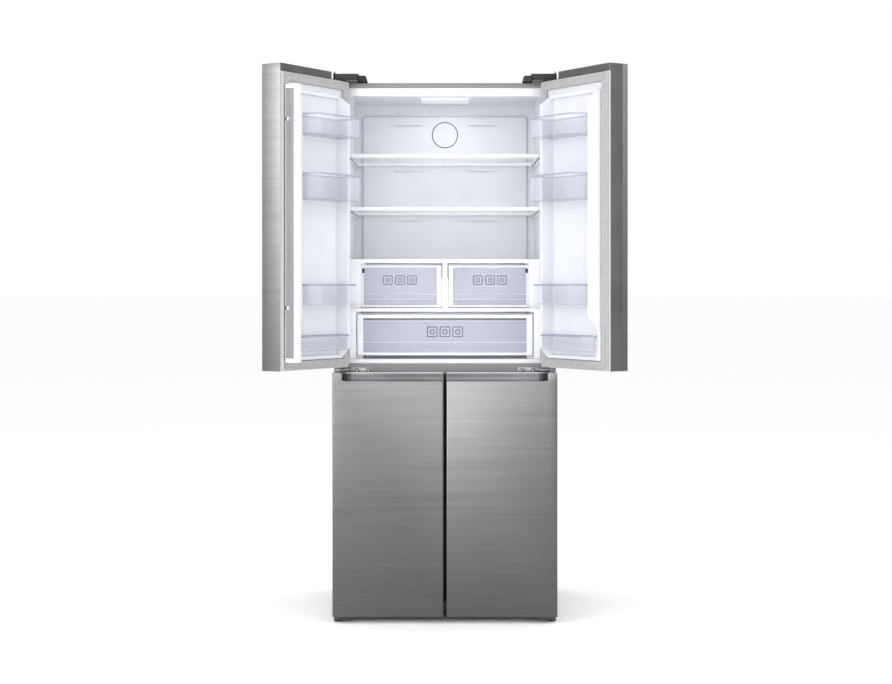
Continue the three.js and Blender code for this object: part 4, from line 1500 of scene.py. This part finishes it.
# %% [markdown]
# ## Case, hinges and feet
# ** Case.** The wrapper is one sheet folded over the roof and both sides; the face frame closes its
# front. Folded sheet has no sharp edges, so copies of both get a small bend radius. The back sheet's
# field lies two millimetres deeper than its rim, and level beads are pressed out of it to keep it
# from drumming. A black strip on the freezer's centre post, behind the gap between the lower doors,
# is painted shade that makes the gap read black.

# %% Wrapper, face frame and back
for node, name, radius in (
    ("cabinet_wrapper", "case_wrapper", 0.7 * MM),
    ("front_frame", "case_face", 0.6 * MM),
):
    softened_copy(node, name, radius, cabinet_steel, "cabinet_steel", "cabinet")

# A black strip behind the gap between the lower doors: painted shade in the gap.
CENTRE_GAP_SHADE = {"half": 7.5 * MM, "front": 11.6 * MM, "back": 13.9 * MM}
centre_gap_shade = start_box(
    "centre_gap_shade",
    (-CENTRE_GAP_SHADE["half"], closed_high.y + CENTRE_GAP_SHADE["front"], freezer_low.z + 4 * MM),
    (CENTRE_GAP_SHADE["half"], closed_high.y + CENTRE_GAP_SHADE["back"], freezer_high.z - 6 * MM),
)
round_edges(centre_gap_shade, 0.8 * MM, 3, upright)
finish_piece(centre_gap_shade, black_plastic, "black_plastic", "cabinet")

FIELD = {"rim": 6 * MM, "depth": 2.3 * MM}
BEAD = {"half": 9 * MM, "depth": 1.6 * MM, "end": 60 * MM, "rows": (0.42, 0.80, 1.18, 1.56)}
back_low, back_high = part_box("back_panel")
back_sheet = start_box("case_back", back_low, back_high)
pick(back_sheet, "FACE", lambda centre, way: way.y > 0.9)
bpy.ops.mesh.inset(thickness=FIELD["rim"])
bpy.ops.transform.translate(value=(0, -FIELD["depth"], 0))
for row in BEAD["rows"]:
    for edge in (row - BEAD["half"], row + BEAD["half"]):
        cut_across(back_sheet, (0, 0, edge), (0, 0, 1))
for reach in (back_low.x + BEAD["end"], back_high.x - BEAD["end"]):
    cut_across(back_sheet, (reach, 0, 0), (1, 0, 0))


def is_bead(centre, way):
    in_row = any(abs(centre.z - row) < BEAD["half"] for row in BEAD["rows"])
    return way.y > 0.9 and in_row and abs(centre.x) < back_high.x - BEAD["end"]


print("beads:", pick(back_sheet, "FACE", is_bead))
bpy.ops.mesh.inset(thickness=3 * MM)
bpy.ops.transform.translate(value=(0, BEAD["depth"], 0))
soften(back_sheet, 0.5 * MM, 2)
finish_piece(back_sheet, cabinet_steel, "cabinet_steel", "cabinet", "back_panel")

# %% [markdown]
# **Screws.** Pan-head screws hold the back and the middle hinges. One function makes them: a short
# cylinder with a rounded rim and a round recess in its head.

# %% Screws on the back
SCREW = {"radius": 4.5 * MM, "tall": 2.2 * MM, "recess": 0.9 * MM}
SCREW_MARGIN = 14 * MM
SCREW_SINK = 0.1 * MM
SIDE_ROWS = (1.50, 1.09, 0.68)


def screw_head(name, place, out, radius=SCREW["radius"]):
    """A screw head that stands on place and faces along the y axis, out is 1 or -1."""
    only(None)
    bpy.ops.mesh.primitive_cylinder_add(
        vertices=32,
        radius=radius,
        depth=SCREW["tall"],
        location=place + Vector((0, out * SCREW["tall"] / 2, 0)),
        rotation=(-out * math.pi / 2, 0, 0),
    )
    head = bpy.context.object
    head.name = name
    settle()
    face = place.y + out * SCREW["tall"]

    def is_rim(centre, way):
        return abs(centre.y - face) < 0.1 * MM and abs(way.y) < 0.1

    round_edges(head, 0.8 * MM, 3, is_rim)
    pick(head, "FACE", lambda centre, way: way.y * out > 0.99)
    bpy.ops.mesh.inset(thickness=radius * 0.42)
    push((0, -out * SCREW["recess"], 0))
    bpy.ops.object.mode_set(mode="OBJECT")
    return head


screw_foot = back_high.y - FIELD["depth"] - SCREW_SINK
top_row, bottom_row = back_high.z - SCREW_MARGIN, back_low.z + SCREW_MARGIN
screws = []
for height in (top_row, *SIDE_ROWS, bottom_row):
    for side in SIDES:
        place = Vector((SIDES[side] * (back_high.x - SCREW_MARGIN), screw_foot, height))
        screws.append(screw_head("screw", place, 1))
for height in (top_row, bottom_row):
    screws.append(screw_head("screw", Vector((0, screw_foot, height)), 1))
finish_piece(join("back_screws", screws), zinc_steel, "zinc_steel", "cabinet")

# %% [markdown]
# **Machine space and freezer.** The louvred cover, the base pan, the compressor, the evaporator, the
# freezer liner and the fan are copies with rounded edges.

# %% Machine space and freezer
for node, name, radius, material, slot in (
    ("compressor_cover", "louvred_cover", 0.5, dark_plastic, "dark_plastic"),
    ("base_pan", "base_tray", 0.5, zinc_steel, "zinc_steel"),
    ("compressor", "compressor_body", 1.2, compressor_black, "compressor_black"),
    ("evaporator", "evaporator_block", 0.3, evaporator_aluminium, "evaporator_aluminium"),
    ("freezer_liner", "freezer_moulding", 1.5, white_liner, "white_liner"),
):
    softened_copy(node, name, radius * MM, material, slot, "cabinet")

softened_copy(
    "freezer_fan", "freezer_fan_wheel", 0.4 * MM, black_plastic, "black_plastic", "freezer_fan"
)

# %% [markdown]
# **Hinges.** The top hinges sit under black covers that fall a little towards the front. The middle
# hinge is a bright zinc-plated plate with two screws; the lower door's top and the upper door's foot
# both turn on its pin. The bottom bracket is dark and has a skirt that tapers inwards over the foot.

# %% Hinge covers and hinges
COVER_FALL = 9 * MM
HINGE_SCREWS = {"along": (62 * MM, 103 * MM), "height": 0.8915, "before_frame": 6.5 * MM}
WASHER_RADIUS = 8.5 * MM
HINGE_SCREW_RADIUS = 5.5 * MM
plate_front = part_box("front_frame")[0].y - HINGE_SCREWS["before_frame"]

for side in SIDES:
    hood = plain_copy(f"top_hinge_cover_{side}", f"hinge_hood_{side}")
    hood_low, hood_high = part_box(f"top_hinge_cover_{side}")
    middle = (hood_low.y + hood_high.y) / 2
    crest = hood_high.z - 1 * MM
    fallen = pick(hood, "VERT", lambda centre, way: centre.z > crest and centre.y < middle)
    print("corners of the cover that fall:", fallen)
    bpy.ops.transform.translate(value=(0, 0, -COVER_FALL))
    soften(hood, 2.2 * MM, 3)
    finish_piece(hood, black_plastic, "black_plastic", "cabinet", f"top_hinge_cover_{side}")

    for level, material, slot in (
        ("top", zinc_steel, "zinc_steel"),
        ("middle", zinc_steel, "zinc_steel"),
        ("bottom", dark_plastic, "dark_plastic"),
    ):
        hinge = f"{level}_hinge_{side}"
        plate = f"{level}_hinge_plate_{side}"
        softened_copy(hinge, plate, 0.5 * MM, material, slot, "cabinet")

    washers, heads = [], []
    for along in HINGE_SCREWS["along"]:
        place = Vector((SIDES[side] * (hinge_line.x - along), plate_front, HINGE_SCREWS["height"]))
        washers.append(screw_head("washer", place, -1, WASHER_RADIUS))
        on_washer = place + Vector((0, -1.4 * MM, 0))
        heads.append(screw_head("screw", on_washer, -1, HINGE_SCREW_RADIUS))
    finish_piece(join(f"hinge_washers_{side}", washers), dark_plastic, "dark_plastic", "cabinet")
    finish_piece(join(f"hinge_screws_{side}", heads), zinc_steel, "zinc_steel", "cabinet")

# %% Bracket skirts
SKIRT = {"wall": 2 * MM, "outer_drop": 12 * MM, "inner_drop": 4 * MM}
for side in SIDES:
    bracket_low, bracket_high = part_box(f"bottom_hinge_{side}")
    under = bracket_low.z
    skirt = start_box(
        f"bracket_skirt_{side}",
        (bracket_low.x, bracket_low.y, under - SKIRT["outer_drop"]),
        (bracket_high.x, bracket_low.y + SKIRT["wall"], under + 0.3 * MM),
    )
    centre_end = min(abs(bracket_low.x), abs(bracket_high.x)) + 1 * MM
    pick(skirt, "VERT", lambda centre, way: abs(centre.x) < centre_end and centre.z < under)
    bpy.ops.transform.translate(value=(0, 0, SKIRT["outer_drop"] - SKIRT["inner_drop"]))
    soften(skirt, 0.5 * MM, 2)
    finish_piece(skirt, dark_plastic, "dark_plastic", "cabinet")

# %% [markdown]
# **Feet and rollers.** A levelling foot is a flat pad on a threaded stem, with notches around the pad
# for the fingers. The rollers get rounded rims.

# %% Feet and rollers
NOTCHES = 12
FACES_PER_NOTCH = 4
PAD = {"tall": 8 * MM, "rim": 3 * MM, "rise": 1.2 * MM, "collar": 4.2 * MM, "collar_rise": 0.6 * MM}
STEM_START = PAD["tall"] + PAD["rise"] + PAD["collar_rise"]

for side in SIDES:
    foot_low, foot_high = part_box(f"front_foot_{side}")
    foot_middle = (foot_low + foot_high) / 2
    pad_radius = (foot_high.x - foot_low.x) / 2
    only(None)
    bpy.ops.mesh.primitive_cylinder_add(
        vertices=NOTCHES * FACES_PER_NOTCH,
        radius=pad_radius,
        depth=PAD["tall"],
        location=(foot_middle.x, foot_middle.y, PAD["tall"] / 2),
    )
    foot = bpy.context.object
    foot.name = f"levelling_foot_{side}"
    settle()
    pick(foot, "FACE", faces_up)
    bpy.ops.mesh.inset(thickness=PAD["rim"])
    bpy.ops.transform.translate(value=(0, 0, PAD["rise"]))
    bpy.ops.mesh.inset(thickness=PAD["collar"])
    bpy.ops.transform.translate(value=(0, 0, PAD["collar_rise"]))
    push((0, 0, foot_high.z - STEM_START))

    def is_notch(centre, way):
        turn = math.atan2(centre.y - foot_middle.y, centre.x - foot_middle.x)
        step = int(round(turn / math.tau * NOTCHES * FACES_PER_NOTCH - 0.5))
        return abs(way.z) < 0.1 and step % FACES_PER_NOTCH == 0 and centre.z < 7 * MM

    pick(foot, "FACE", is_notch)
    bpy.ops.mesh.inset(thickness=0.35 * MM, use_individual=True)
    bpy.ops.transform.resize(
        value=(0.94, 0.94, 1), center_override=(foot_middle.x, foot_middle.y, PAD["tall"] / 2)
    )
    round_edges(foot, 0.7 * MM, 2, lambda centre, way: centre.z < 0.1 * MM and abs(way.z) < 0.1)
    finish_piece(foot, black_plastic, "black_plastic", f"front_foot_{side}", f"front_foot_{side}")

    roller = f"rear_roller_{side}"
    softened_copy(
        roller, f"roller_wheel_{side}", 0.4 * MM, black_plastic, "black_plastic", roller
    )
